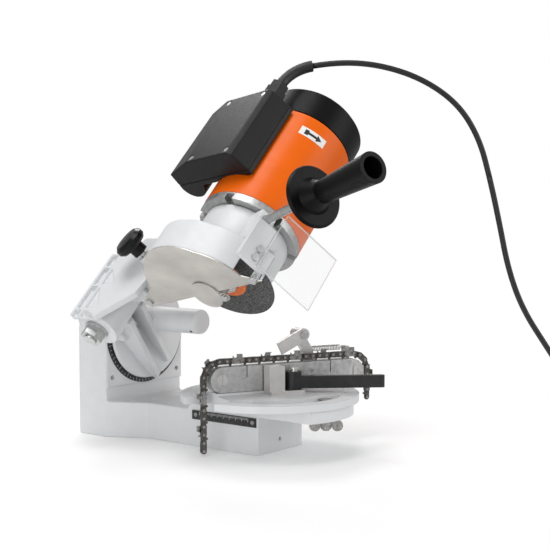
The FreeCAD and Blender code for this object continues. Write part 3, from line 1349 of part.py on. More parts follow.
def rocker():
    """Rocker switch in the back of the lid, in its own frame: Z out of the wall, long side on X."""
    out_of_wall = Rotation(V(1, 0, 0), -90)
    middle = V(s.switch_station.value, s.box_back.value, s.switch_out.value)
    frame = box_frame * Placement(middle, out_of_wall)
    inner_long = s.switch_long / 2 - s.face_gap * 3
    inner_wide = s.switch_wide / 2 - s.face_gap
    dip = s.switch_thick * 0.4
    high = s.switch_thick - dip
    profile = [(-inner_long, -s.box_wall * 0.4), (0, -s.box_wall), (inner_long, -s.box_wall * 0.4),
               (inner_long, high), (0, high - dip), (-inner_long, high)]
    node("switch_rocker", frame, prism(profile, -inner_wide, inner_wide, "XZ_Plane"))


# Cord: points chosen along the photographed hang, as (distance out, height)

CORD_START = V(55.3, -21.4, 457.1)
CORD_OUT = V(1, -1, 0).normalize()
CORD_ROUTE = [(0, 457.1), (30, 462.5), (82, 460), (135, 444), (180, 414), (207, 372), (221, 322),
              (233, 270), (245, 212), (264, 162), (296, 114), (321, 77), (343, 44), (362, 17),
              (380, 3.6), (404, 3.6)]


def cord_point(out, height):
    return V(CORD_START.x, CORD_START.y, 0) + CORD_OUT * out + V(0, 0, height)


def gland_and_cord():
    at = (-s.gland_across, s.gland_out)
    half_length = s.gland_length / 2
    spigot = rod(s.gland_flats * 0.35, s.box_wall * 2, (s.box_end - s.box_wall, *at), "X")
    body = fuse(spigot, hexagon(s.gland_flats, half_length, (s.box_end + s.face_gap / 3, *at), "X"),
                hexagon(s.gland_flats * 0.85, half_length, (s.box_end + half_length, *at), "X"))
    hole = rod(s.relief_radius + s.fixed_gap, s.gland_length, (s.box_end + half_length, *at), "X")
    node("cable_gland", box_frame, cut(body, hole))
    inside = s.box_end + half_length + s.face_gap
    to_arm = box_frame.inverse()
    start = V(inside.value, -s.gland_across.value, s.gland_out.value)
    points = [cord_point(*p) for p in CORD_ROUTE]
    leave = (points[1] - points[0]).normalize()
    end = to_arm.multVec(points[0] - leave * s.face_gap.value)
    ahead = V(1, 0, 0)
    neck = start + ahead * s.gland_length.value * 0.6
    edges = [Part.LineSegment(start, neck).toShape()]
    edges += biarc(neck, ahead, end, to_arm.Rotation.multVec(leave))
    sleeve, path = tube(edges, s.relief_radius.value, start, ahead)
    print(f"strain relief: length {path.Length:.1f} mm")
    node("strain_relief", box_frame, feature(sleeve))
    radius = s.cord_radius.value
    cord, path = tube(route_edges(points), radius, points[0], leave)
    swept = path.Length * math.pi * radius ** 2
    print(f"power cord: length {path.Length:.1f} mm, volume {cord.Volume / swept:.3f} of section by length")
    node("power_cord", ground, feature(cord))
    cord_coil(points[-1])


def cord_coil(start):
    """Put-away length: two turns in on the floor, half a turn up, two turns out on top."""
    radius, step, wire = s.coil_radius.value, s.coil_step.value, s.cord_radius.value
    side = V(CORD_OUT.y, -CORD_OUT.x, 0)
    centre = start + side * radius
    points, tangents = [], []
    for i in range(19):
        turn = i / 4
        inner = radius - 2 * step
        if turn <= 2:
            reach, slope, height = radius - step * turn, -step, 0
        elif turn <= 2.5:
            part = (turn - 2) * 2
            reach, slope, height = inner, 0, step * part * part * (3 - 2 * part)
        else:
            reach, slope, height = inner + step * (turn - 2.5), step, step
        rise = 3 * step if turn == 2.25 else 0
        slope = 0 if turn in (0, 2, 2.5, 4.5) else slope
        angle = 2 * math.pi * turn
        out = CORD_OUT * math.sin(angle) - side * math.cos(angle)
        along = CORD_OUT * math.cos(angle) + side * math.sin(angle)
        points.append(centre + out * reach + V(0, 0, height))
        tangents.append((along * 2 * math.pi * reach + out * slope + V(0, 0, rise)).normalize())
    plug_at = points[-1] - CORD_OUT * s.plug_length.value
    plug_at.z = s.plug_radius.value + s.face_gap.value
    points.append(plug_at)
    tangents.append(CORD_OUT * -1)
    node("cord_coil", ground, feature(wound("cord coil", points, tangents, wire, 4)))
    grip = s.plug_length
    half_pins = s.plug_pin_spread / 2
    pins = [rod(s.plug_pin_radius, s.plug_pin_long, (x, 0, grip)) for x in (-half_pins, half_pins)]
    shape = [(0, 0), (s.plug_radius * 0.45, 0), (s.plug_radius * 0.7, grip * 0.4),
             (s.plug_radius, grip * 0.75), (s.plug_radius, grip), (0, grip)]
    frame = Placement(plug_at - CORD_OUT * s.face_gap.value, Rotation(V(0, 0, 1), CORD_OUT * -1))
    node("power_plug", frame, fuse(turned(shape), *pins))


def depth_screw():
    frame = arm_frame * Placement(V(s.depth_x.value, -s.depth_y.value, 0), Rotation())
    knob_low = s.knob_low
    screw_long = s.depth_low + knob_low + s.knob_high / 2
    node("depth_screw", frame, rod(s.depth_radius, screw_long, (0, 0, -s.depth_low)))
    bore = s.depth_radius + s.fixed_gap
    top = knob_low + s.knob_high
    rim = knob_low + s.knob_high * 0.45
    profile = [(bore, knob_low), (s.knob_hub_radius, knob_low), (s.knob_hub_radius, rim),
               (s.knob_radius * 0.85, rim), (s.knob_radius, rim + s.knob_high * 0.14),
               (s.knob_radius, rim + s.knob_high * 0.34), (s.knob_radius * 0.8, top - s.knob_high * 0.06),
               (s.knob_radius * 0.3, top), (0, top), (0, knob_low + s.knob_high / 2 + s.face_gap),
               (bore, knob_low + s.knob_high / 2 + s.face_gap)]
    node("depth_knob", frame, turned(profile))


doc = FreeCAD.newDocument("ChainGrinder")
nodes = []
s = make_sheet()
clamp_circle = s.table_radius - s.clamp_inset
tongue_reach = s.table_radius - s.tongue_inset
bell_radius = s.tube_radius - s.bell_inset
cap_radius = s.tube_radius - s.cap_inset
cap_inner = cap_radius - s.cap_wall
fan_radius = cap_inner - s.fan_gap

ground = Placement()
table_frame = Placement(V(0, 0, 0), Rotation(V(0, 0, 1), -s.table_angle.value))
swivel_frame = Placement(V(0, 0, s.swivel_height.value), Rotation(V(0, 1, 0), -s.head_tilt.value))
hinge_at = V(0, s.hinge_y.value, s.hinge_u.value)
arm_frame = swivel_frame * Placement(hinge_at, Rotation(V(1, 0, 0), -s.arm_lift.value))
spindle_at = V(0, -s.spindle_y.value, -s.spindle_z.value)
spindle_frame = arm_frame * Placement(spindle_at, TURNS["X"])
box_turn = Rotation(V(1, 0, 0), s.box_turn.value)
box_frame = arm_frame * Placement(spindle_at + box_turn.multVec(V(0, 0, s.tube_radius.value)), box_turn)

base_casting()
scale_plate()
ruler()
table_clamp()
pad_top = turntable()
rail_z = vise(pad_top)
chain_stop(pad_top, rail_z)
chain_sample(rail_z)
swivel_bracket()
hinge()
arm_casting()
wheel_guard()
motor()
shield_and_handle()
terminal_box()
gland_and_cord()
depth_screw()

doc.recompute()
faults = [o.Name for o in doc.Objects if {"Invalid", "Error"} & set(o.State)]
faults += [n.Label for n in nodes if n.Shape.isNull() or not n.Shape.isValid() or not n.Shape.Solids]
if faults:
    raise RuntimeError(f"faulty objects: {faults}")
os.makedirs("parts", exist_ok=True)
for sub_part in nodes:
    sub_part.Shape.exportStep(f"parts/{sub_part.Label}.step")
print(len(nodes), "nodes")
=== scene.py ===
import json
import math

import bmesh
import bpy
from mathutils import Matrix, Vector


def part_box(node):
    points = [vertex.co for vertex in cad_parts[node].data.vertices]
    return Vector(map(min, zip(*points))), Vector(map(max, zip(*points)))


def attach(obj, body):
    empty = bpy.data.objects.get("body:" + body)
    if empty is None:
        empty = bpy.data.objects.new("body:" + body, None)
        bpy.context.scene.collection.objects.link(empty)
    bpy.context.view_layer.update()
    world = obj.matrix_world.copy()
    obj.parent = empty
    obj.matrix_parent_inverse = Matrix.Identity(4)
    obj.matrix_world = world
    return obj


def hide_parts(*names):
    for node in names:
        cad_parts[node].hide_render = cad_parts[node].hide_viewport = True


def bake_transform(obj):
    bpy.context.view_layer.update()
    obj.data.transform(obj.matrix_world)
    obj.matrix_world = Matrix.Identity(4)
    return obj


# Bench grinder for saw chains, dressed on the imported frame. Lengths in metres.

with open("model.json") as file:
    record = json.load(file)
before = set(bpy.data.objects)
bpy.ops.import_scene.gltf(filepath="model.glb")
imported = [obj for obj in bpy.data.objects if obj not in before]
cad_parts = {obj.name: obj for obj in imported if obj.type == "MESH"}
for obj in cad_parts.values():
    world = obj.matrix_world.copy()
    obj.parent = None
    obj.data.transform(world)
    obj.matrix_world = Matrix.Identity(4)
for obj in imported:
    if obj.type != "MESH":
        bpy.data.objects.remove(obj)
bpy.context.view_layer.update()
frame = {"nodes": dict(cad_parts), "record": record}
nodes = frame["nodes"]
joints = {j["name"]: j for j in frame["record"]["behaviour"]["joints"]}
MM = 0.001
X, Y, Z = Vector((1, 0, 0)), Vector((0, 1, 0)), Vector((0, 0, 1))

# Axes of the head, from the joints: along the spindle, and out from the arm
SPINDLE = Vector(joints["spindle_spin"]["pos_m"])
ALONG = Vector(joints["spindle_spin"]["axis"]).normalized()
ARM_UP = Vector(joints["depth_slide"]["axis"]).normalized()
ARM_BACK = ARM_UP.cross(ALONG).normalized()

# Camera solved from the photograph: turn and tilt in degrees, lens and sensor in millimetres
CAMERA_AT = (-1.0886, -0.8581, 0.2839)
CAMERA_TURN = -52.0
CAMERA_DOWN = 3.14
CAMERA_LENS = 76.69
CAMERA_SENSOR = 36.0
CAMERA_NEAR = 0.05

# Cord: the same points as in the part, as (distance out, height) in millimetres
CORD_START = Vector((55.3, -21.4, 0)) * MM
CORD_OUT = Vector((1, -1, 0)).normalized()
CORD_ROUTE = [(0, 457.1), (30, 462.5), (82, 460), (135, 444), (180, 414), (207, 372), (221, 322),
              (233, 270), (245, 212), (264, 162), (296, 114), (321, 77), (343, 44), (362, 17),
              (380, 3.6), (404, 3.6)]
CORD_DIAMETER = 7 * MM

# Height where the cord's line is cut into an upper and a lower tube
CORD_SPLIT_HEIGHT = 0.33

# Put-away coil: turns in on the floor, a climb, turns out on top, and the plug
COIL_RADIUS = 46 * MM
COIL_STEP = 8.8 * MM
COIL_POINTS = 16
TURNS_IN = 2
TURNS_UP = 0.5
TURNS_OUT = 2
PLUG_AHEAD = 40 * MM
PLUG_HEIGHT = 14.3 * MM

# Tie round the coil: its strap, and its room beside, under and over the turns
TIE_WIDE = 5 * MM
TIE_THICK = 1.0 * MM
TIE_UNDER_SHARE = 0.2
TIE_BESIDE = 1.4 * MM
TIE_LOW = 0.2 * MM
TIE_OVER = 1.6 * MM

# Arrow label on the motor: station along the spindle, and angle up from the arm's front
MOTOR_RADIUS = 62 * MM
LABEL_STATION = 179 * MM
LABEL_ANGLE = math.radians(15)
LABEL_LONG = 34 * MM
LABEL_WIDE = 12 * MM
LABEL_PAPER = 0.15 * MM
LABEL_INK = 0.05 * MM

# Its arrow: places along the way round, and half widths
ARROW_TIP = -12 * MM
ARROW_NECK = -5 * MM
ARROW_TAIL = 6 * MM
ARROW_END = 11 * MM
ARROW_POINT_HALF = 0.01 * MM
ARROW_HEAD_HALF = 4.6 * MM
ARROW_SHAFT_HALF = 1.7 * MM
ARROW_FEATHER_HALF = 3.6 * MM

# Marks on the ruler and the angle scale
MARK_WIDE = 0.35 * MM
MARK_PROUD = 0.06 * MM
MARK_INSET = 1.0 * MM
RULER_SPACES = 40
RULER_LONG_EVERY = 5
RULER_MARGIN = 12 * MM
RULER_LONG_MARK = 4.5 * MM
RULER_SHORT_MARK = 2.6 * MM
ANGLE_REACH = 75
ANGLE_STEP = 5
ANGLE_LONG_EVERY = 15
ANGLE_LONG_MARK = 5.0 * MM
ANGLE_SHORT_MARK = 2.8 * MM

# Paper rings on the wheel
WHEEL_HALF = 2.0 * MM
BLOTTER_INNER = 21.5 * MM
BLOTTER_OUTER = 31 * MM
BLOTTER_THICK = 0.4 * MM

# Painted shade of the small bores in the guard's neck and in the stop bar's end, as thin black discs
BORE_SHADE_THICK = 0.3 * MM
NECK_RADIUS = 52 * MM
NECK_STATION = 34 * MM
NECK_ANGLE = math.radians(20)
NECK_OUT = ARM_UP * math.sin(NECK_ANGLE) - ARM_BACK * math.cos(NECK_ANGLE)
NECK_AT = SPINDLE + ALONG * NECK_STATION + NECK_OUT * NECK_RADIUS
NECK_BORE_RADIUS = 2.4 * MM
BAR_AT = Vector((-12.8, 114.6, 134.3)) * MM
BAR_OUT = Vector((-0.642, 0, -0.767))
BAR_BORE_RADIUS = 2.0 * MM

# Castings and mouldings redrawn with soft edges: body, material, slot, voxel, and rounds of smoothing
SMOOTH_FACTOR = 0.5
FACES_KEPT = 0.35
SOFT_PIECES = {
    "base_casting": ("base", "casting", "casting", 1.1 * MM, 5),
    "swivel_bracket": ("swivel", "casting", "casting", 0.9 * MM, 9),
    "arm_casting": ("arm", "casting", "casting", 0.9 * MM, 9),
    "wheel_guard": ("arm", "casting", "casting", 0.9 * MM, 5),
    "shield_bracket": ("arm", "casting", "casting", 0.6 * MM, 5),
    "terminal_lid": ("arm", "plastic", "black_plastic", 0.8 * MM, 8),
    "terminal_tray": ("arm", "plastic", "black_plastic", 0.8 * MM, 5),
}

# Floor, surround and lamps. Each lamp has a place, a size and a power in watts
VIEW_TARGET = Vector((0.0, 0.06, 0.18))
FLOOR_RADIUS = 1.2
FLOOR_DROP = 0.2 * MM
FLOOR_SOLID = 0.22
FLOOR_GONE = 0.62
FLOOR_GLOW = 0.1
SURROUND_LEVEL = 0.42
BACKDROP_LEVEL = 1.0
LAMPS = {
    "key": ((-0.45, 0.0, 1.6), 0.85, 11.5),
    "fill": ((0.6, -1.3, 0.7), 1.0, 6),
    "back": ((0.72, 0.9, 1.3), 0.7, 9),
    "front": ((-1.5, -0.3, 0.16), 1.0, 7),
}


# Material helpers


def new_material(name, colour, roughness, metallic=0.0):
    material = bpy.data.materials.new(name)
    material.use_nodes = True
    shader = material.node_tree.nodes["Principled BSDF"]
    shader.inputs["Base Color"].default_value = (*colour, 1)
    shader.inputs["Roughness"].default_value = roughness
    shader.inputs["Metallic"].default_value = metallic
    return material, material.node_tree, shader


def add(tree, kind, **inputs):
    made = tree.nodes.new(kind)
    for key, value in inputs.items():
        made.inputs[key.replace("_", " ")].default_value = value
    return made


def place(tree, stretch=(1, 1, 1)):
    """Place on the piece, stretched for a finish that runs one way."""
    coordinates = tree.nodes.new("ShaderNodeTexCoord")
    mapping = tree.nodes.new("ShaderNodeMapping")
    mapping.inputs["Scale"].default_value = stretch
    tree.links.new(coordinates.outputs["Object"], mapping.inputs["Vector"])
    return mapping.outputs["Vector"]


def noise(tree, vector, scale, detail=3.0):
    made = add(tree, "ShaderNodeTexNoise", Scale=scale, Detail=detail)
    tree.links.new(vector, made.inputs["Vector"])
    return made.outputs["Fac"]


def ramp(tree, source, low, high, start=0.3, end=0.7):
    made = tree.nodes.new("ShaderNodeValToRGB")
    made.color_ramp.elements[0].position = start
    made.color_ramp.elements[0].color = low
    made.color_ramp.elements[1].position = end
    made.color_ramp.elements[1].color = high
    tree.links.new(source, made.inputs["Fac"])
    return made.outputs["Color"]


def shade(colour, factor):
    return (*[min(1.0, c * factor) for c in colour], 1)


def grey(value):
    return (value, value, value, 1)


def vary_colour(tree, shader, colour, vector, scale, spread):
    source = noise(tree, vector, scale)
    mixed = ramp(tree, source, shade(colour, 1 - spread), shade(colour, 1 + spread))
    tree.links.new(mixed, shader.inputs["Base Color"])


def vary_roughness(tree, shader, vector, scale, low, high):
    mixed = ramp(tree, noise(tree, vector, scale), grey(low), grey(high))
    tree.links.new(mixed, shader.inputs["Roughness"])


def rough_surface(tree, shader, vector, scale, distance, strength=0.5, edge=0.0, detail=3.0):
    """Fine bump, over normals softened along the edges where an edge radius is given."""
    bump = add(tree, "ShaderNodeBump", Strength=strength, Distance=distance)
    tree.links.new(noise(tree, vector, scale, detail), bump.inputs["Height"])
    if edge:
        bevel = add(tree, "ShaderNodeBevel", Radius=edge)
        tree.links.new(bevel.outputs["Normal"], bump.inputs["Normal"])
    tree.links.new(bump.outputs["Normal"], shader.inputs["Normal"])


# Materials


def casting_paint():
    colour = (0.71, 0.725, 0.735)
    material, tree, shader = new_material("casting_paint", colour, roughness=0.4)
    vector = place(tree)
    vary_colour(tree, shader, colour, vector, scale=60, spread=0.02)
    vary_roughness(tree, shader, vector, scale=90, low=0.34, high=0.46)
    rough_surface(tree, shader, vector, scale=700, distance=0.0002, strength=0.35, edge=0.0014)
    return material


def rolled_steel():
    colour = (0.56, 0.54, 0.505)
    material, tree, shader = new_material("rolled_steel", colour, roughness=0.4, metallic=0.75)
    smudge = place(tree, (1, 1, 2.5))
    vary_colour(tree, shader, colour, smudge, scale=22, spread=0.12)
    vary_roughness(tree, shader, smudge, scale=35, low=0.34, high=0.5)
    rolled = place(tree, (30, 1, 1))
    rough_surface(tree, shader, rolled, scale=300, distance=0.00004, strength=0.3, edge=0.0005)
    return material


def motor_paint():
    colour = (0.83, 0.132, 0.002)
    material, tree, shader = new_material("motor_paint", colour, roughness=0.34)
    vector = place(tree)
    vary_colour(tree, shader, colour, vector, scale=40, spread=0.03)
    vary_roughness(tree, shader, vector, scale=120, low=0.28, high=0.38)
    rough_surface(tree, shader, vector, scale=900, distance=0.0001, strength=0.2, edge=0.0006)
    shader.inputs["Specular IOR Level"].default_value = 0.2
    return material


def moulded_plastic(name, level, low, high, grain, gloss):
    """Near-black plastic: its level of grey, its range of roughness, and the scale of its grain."""
    blue_lift = 1.06
    colour = (level, level, level * blue_lift)
    material, tree, shader = new_material(name, colour, roughness=low)
    vector = place(tree)
    vary_colour(tree, shader, colour, vector, scale=50, spread=0.08)
    vary_roughness(tree, shader, vector, scale=240, low=low, high=high)
    rough_surface(tree, shader, vector, scale=grain, distance=0.0002, strength=0.25, edge=0.0012)
    shader.inputs["Specular IOR Level"].default_value = gloss
    return material


def polished_plastic():
    colour = (0.008, 0.008, 0.009)
    material, tree, shader = new_material("polished_plastic", colour, roughness=0.22)
    vector = place(tree)
    vary_roughness(tree, shader, vector, scale=160, low=0.18, high=0.28)
    rough_surface(tree, shader, vector, scale=120, distance=0.0002, strength=0.1, edge=0.001)
    shader.inputs["Specular IOR Level"].default_value = 0.2
    return material


def zinc_plate():
    colour = (0.56, 0.565, 0.56)
    material, tree, shader = new_material("zinc_plate", colour, roughness=0.42, metallic=0.9)
    vector = place(tree)
    spangle = add(tree, "ShaderNodeTexVoronoi", Scale=260.0)
    tree.links.new(vector, spangle.inputs["Vector"])
    blurred = add(tree, "ShaderNodeMix", Factor=0.6)
    tree.links.new(spangle.outputs["Distance"], blurred.inputs["A"])
    tree.links.new(noise(tree, vector, scale=180, detail=4), blurred.inputs["B"])
    value = blurred.outputs["Result"]
    mixed = ramp(tree, value, shade(colour, 0.84), shade(colour, 1.1), start=0.25, end=0.7)
    tree.links.new(mixed, shader.inputs["Base Color"])
    tree.links.new(ramp(tree, value, grey(0.32), grey(0.56)), shader.inputs["Roughness"])
    rough_surface(tree, shader, vector, scale=300, distance=0.0001, strength=0.3, edge=0.0006)
    return material


def chain_steel():
    colour = (0.115, 0.108, 0.1)
    material, tree, shader = new_material("chain_steel", colour, roughness=0.36, metallic=0.8)
    vector = place(tree)
    vary_colour(tree, shader, colour, vector, scale=320, spread=0.45)
    vary_roughness(tree, shader, vector, scale=400, low=0.26, high=0.5)
    rough_surface(tree, shader, vector, scale=1500, distance=0.00008, strength=0.3, edge=0.0003)
    return material


def cutter_chrome():
    colour = (0.3, 0.295, 0.285)
    material, tree, shader = new_material("cutter_chrome", colour, roughness=0.3, metallic=0.95)
    vector = place(tree)
    vary_colour(tree, shader, colour, vector, scale=260, spread=0.5)
    vary_roughness(tree, shader, vector, scale=400, low=0.2, high=0.42)
    rough_surface(tree, shader, vector, scale=1500, distance=0.00006, strength=0.3, edge=0.0003)
    return material


def rivet_steel():
    colour = (0.34, 0.33, 0.32)
    material, tree, shader = new_material("rivet_steel", colour, roughness=0.42, metallic=0.9)
    vector = place(tree)
    vary_colour(tree, shader, colour, vector, scale=500, spread=0.4)
    vary_roughness(tree, shader, vector, scale=500, low=0.34, high=0.52)
    rough_surface(tree, shader, vector, scale=1500, distance=0.0001, strength=0.4, edge=0.0005)
    return material


def plain_steel():
    colour = (0.66, 0.645, 0.63)
    material, tree, shader = new_material("plain_steel", colour, roughness=0.36, metallic=0.7)
    vector = place(tree)
    vary_colour(tree, shader, colour, vector, scale=90, spread=0.05)
    vary_roughness(tree, shader, vector, scale=150, low=0.32, high=0.42)
    brushed = place(tree, (1, 1, 20))
    rough_surface(tree, shader, brushed, scale=200, distance=0.00003, strength=0.2, edge=0.0006)
    return material


def bright_steel():
    colour = (0.56, 0.56, 0.555)
    material, tree, shader = new_material("bright_steel", colour, roughness=0.32, metallic=1.0)
    vector = place(tree)
    vary_colour(tree, shader, colour, vector, scale=220, spread=0.12)
    vary_roughness(tree, shader, vector, scale=260, low=0.26, high=0.4)
    rough_surface(tree, shader, vector, scale=900, distance=0.00005, strength=0.25, edge=0.0005)
    return material


def black_steel():
    colour = (0.018, 0.018, 0.019)
    material, tree, shader = new_material("black_steel", colour, roughness=0.45, metallic=0.1)
    vector = place(tree)
    vary_colour(tree, shader, colour, vector, scale=130, spread=0.25)
    vary_roughness(tree, shader, vector, scale=180, low=0.38, high=0.55)
    rough_surface(tree, shader, vector, scale=1000, distance=0.00015, strength=0.4, edge=0.001)
    return material


def abrasive():
    colour = (0.06, 0.062, 0.064)
    material, tree, shader = new_material("abrasive", colour, roughness=0.85)
    vector = place(tree)
    grit = add(tree, "ShaderNodeTexVoronoi", Scale=1100.0)
    tree.links.new(vector, grit.inputs["Vector"])
    mixed = ramp(tree, grit.outputs["Color"], grey(0.02), grey(0.19), start=0.2, end=0.95)
    tree.links.new(mixed, shader.inputs["Base Color"])
    rough_surface(tree, shader, vector, scale=1300, distance=0.0006, strength=0.8, detail=1.0)
    return material


def blotter_paper():
    colour = (0.80, 0.19, 0.05)
    material, tree, shader = new_material("blotter_paper", colour, roughness=0.7)
    vector = place(tree)
    vary_colour(tree, shader, colour, vector, scale=300, spread=0.12)
    rough_surface(tree, shader, vector, scale=1500, distance=0.0001, strength=0.4)
    return material


def clear_sheet():
    """Clear pane: faint on its faces, and pale where its cut edges show."""
    material, tree, shader = new_material("clear_sheet", (0.72, 0.74, 0.74), roughness=0.08)
    facing = tree.nodes.new("ShaderNodeVectorMath")
    facing.operation = "DOT_PRODUCT"
    coordinates = tree.nodes.new("ShaderNodeTexCoord")
    tree.links.new(coordinates.outputs["Normal"], facing.inputs[0])
    facing.inputs[1].default_value = ARM_BACK
    turned = tree.nodes.new("ShaderNodeMath")
    turned.operation = "ABSOLUTE"
    tree.links.new(facing.outputs["Value"], turned.inputs[0])
    tree.links.new(ramp(tree, turned.outputs["Value"], grey(0.7), grey(0.08)), shader.inputs["Alpha"])
    return material


def cast_aluminium():
    colour = (0.46, 0.46, 0.455)
    material, tree, shader = new_material("cast_aluminium", colour, roughness=0.45, metallic=0.9)
    vector = place(tree)
    vary_colour(tree, shader, colour, vector, scale=150, spread=0.15)
    vary_roughness(tree, shader, vector, scale=200, low=0.36, high=0.55)
    rough_surface(tree, shader, vector, scale=900, distance=0.0002, strength=0.4, edge=0.0008)
    return material


def scale_black():
    colour = (0.03, 0.03, 0.03)
    material, tree, shader = new_material("scale_black", colour, roughness=0.4, metallic=0.2)
    vector = place(tree)
    vary_colour(tree, shader, colour, vector, scale=400, spread=0.35)
    vary_roughness(tree, shader, vector, scale=300, low=0.32, high=0.5)
    return material


def cord_rubber():
    colour = (0.012, 0.012, 0.013)
    material, tree, shader = new_material("cord_rubber", colour, roughness=0.5)
    vector = place(tree)
    vary_roughness(tree, shader, vector, scale=150, low=0.42, high=0.58)
    rough_surface(tree, shader, vector, scale=1800, distance=0.0001, strength=0.25)
    return material


def iron_sheets():
    colour = (0.2, 0.19, 0.18)
    material, tree, shader = new_material("iron_sheets", colour, roughness=0.5, metallic=0.9)
    vary_colour(tree, shader, colour, place(tree), scale=200, spread=0.2)
    rough_surface(tree, shader, place(tree), scale=900, distance=0.0001, strength=0.3)
    return material


def sintered_bronze():
    colour = (0.55, 0.36, 0.16)
    material, tree, shader = new_material("sintered_bronze", colour, roughness=0.4, metallic=1.0)
    vary_colour(tree, shader, colour, place(tree), scale=400, spread=0.15)
    rough_surface(tree, shader, place(tree), scale=1200, distance=0.0001, strength=0.3)
    return material


def print_white():
    colour = (0.82, 0.82, 0.80)
    material, tree, shader = new_material("print_white", colour, roughness=0.45)
    vary_colour(tree, shader, colour, place(tree), scale=250, spread=0.04)
    return material


# Black for the printed arrow, and also painted shade in the mouths of small bores
def print_and_shade_black():
    colour = (0.02, 0.02, 0.02)
    material, tree, shader = new_material("print_and_shade_black", colour, roughness=0.45)
    vary_colour(tree, shader, colour, place(tree), scale=250, spread=0.2)
    return material


def floor_white():
    """White ground that thins out to the background, so that no horizon shows."""
    colour = (0.93, 0.93, 0.93)
    material, tree, shader = new_material("floor_white", colour, roughness=0.9)
    coordinates = tree.nodes.new("ShaderNodeTexCoord")
    length = tree.nodes.new("ShaderNodeVectorMath")
    length.operation = "LENGTH"
    tree.links.new(coordinates.outputs["Object"], length.inputs[0])
    fade = add(tree, "ShaderNodeMapRange",
               From_Min=FLOOR_SOLID, From_Max=FLOOR_GONE, To_Min=1.0, To_Max=0.0)
    fade.interpolation_type = "SMOOTHSTEP"
    tree.links.new(length.outputs["Value"], fade.inputs["Value"])
    tree.links.new(fade.outputs["Result"], shader.inputs["Alpha"])
    shader.inputs["Emission Color"].default_value = (1, 1, 1, 1)
    shader.inputs["Emission Strength"].default_value = FLOOR_GLOW
    return material


# Mesh helpers


def mesh_piece(name, mesh, material, body):
    mesh.normal_update()
    data = bpy.data.meshes.new(name)
    mesh.to_mesh(data)
    mesh.free()
    made = bpy.data.objects.new(name, data)
    bpy.context.collection.objects.link(made)
    data.materials.append(material)
    if body:
        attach(made, body)
    return made


def add_block(mesh, centre, axes, sizes):
    """Box with the given side directions and side lengths."""
    turn = Matrix([axes[0], axes[1], axes[2]]).transposed().to_4x4()
    size = Matrix.Diagonal((*sizes, 1))
    bmesh.ops.create_cube(mesh, size=1, matrix=Matrix.Translation(centre) @ turn @ size)


def add_ring(mesh, centre, axis, inner, outer, thick, count=96):
    """Flat washer, its first face at the centre and its thickness along the axis."""
    turn = axis.to_track_quat("Z", "Y")
    loops = []
    for radius, height in ((inner, 0), (outer, 0), (outer, thick), (inner, thick)):
        loop = []
        for i in range(count):
            angle = 2 * math.pi * i / count
            point = Vector((radius * math.cos(angle), radius * math.sin(angle), height))
            loop.append(mesh.verts.new(centre + turn @ point))
        loops.append(loop)
    for k in range(4):
        first, second = loops[k], loops[(k + 1) % 4]
        for i in range(count):
            j = (i + 1) % count
            mesh.faces.new((first[i], second[i], second[j], first[j]))


def add_tube(mesh, points, radius, sides=14):
    """Closed tube through the points, its section carried along without twist."""
    before = [points[0], *points[:-1]]
    after = [*points[1:], points[-1]]
    ahead = [(b - a).normalized() for a, b in zip(before, after)]
    across = ahead[0].orthogonal().normalized()
    loops = []
    for i, point in enumerate(points):
        if i:
            across = ahead[i - 1].rotation_difference(ahead[i]) @ across
        up = ahead[i].cross(across).normalized()
        loop = []
        for k in range(sides):
            angle = 2 * math.pi * k / sides
            loop.append(mesh.verts.new(point + (across * math.cos(angle) + up * math.sin(angle)) * radius))
        loops.append(loop)
    for first, second in zip(loops, loops[1:]):
        for k in range(sides):
            j = (k + 1) % sides
            mesh.faces.new((first[k], first[j], second[j], second[k])).smooth = True
    mesh.faces.new(list(reversed(loops[0])))
    mesh.faces.new(loops[-1])


# Cord


def coil_side():
    return Vector((CORD_OUT.y, -CORD_OUT.x, 0))


def coil_centre():
    out, height = CORD_ROUTE[-1]
    return CORD_START + CORD_OUT * out * MM + Z * height * MM + coil_side() * COIL_RADIUS


def cord_controls():
    """Hanging points, then the coil's turns in on the floor, up and out again, and the plug's tail."""
    points = [CORD_START + CORD_OUT * out * MM + Z * height * MM for out, height in CORD_ROUTE]
    side, centre = coil_side(), coil_centre()
    inner = COIL_RADIUS - COIL_STEP * TURNS_IN
    climbed = TURNS_IN + TURNS_UP
    for i in range(1, int((climbed + TURNS_OUT) * COIL_POINTS) + 1):
        turn = i / COIL_POINTS
        height = 0
        if turn <= TURNS_IN:
            reach = COIL_RADIUS - COIL_STEP * turn
        elif turn <= climbed:
            part = (turn - TURNS_IN) / TURNS_UP
            reach, height = inner, COIL_STEP * part * part * (3 - 2 * part)
        else:
            reach, height = inner + COIL_STEP * (turn - climbed), COIL_STEP
        angle = 2 * math.pi * turn
        out = CORD_OUT * math.sin(angle) - side * math.cos(angle)
        points.append(centre + out * reach + Z * height)
    end = points[-1] - CORD_OUT * PLUG_AHEAD
    end.z = PLUG_HEIGHT
    points.append(end)
    return points


def cord_line(controls):
    """Points along the smooth curve that the controls give."""
    curve = bpy.data.curves.new("cord_route", "CURVE")
    curve.dimensions = "3D"
    spline = curve.splines.new("NURBS")
    spline.points.add(len(controls) - 1)
    for knot, point in zip(spline.points, controls):
        knot.co = (*point, 1)
    spline.order_u = 3
    spline.use_endpoint_u = True
    spline.resolution_u = 8
    holder = bpy.data.objects.new("cord_route", curve)
    bpy.context.collection.objects.link(holder)
    bpy.context.view_layer.update()
    line = bpy.data.meshes.new_from_object(holder)
    points = [v.co.copy() for v in line.vertices]
    bpy.data.objects.remove(holder)
    bpy.data.meshes.remove(line)
    return points


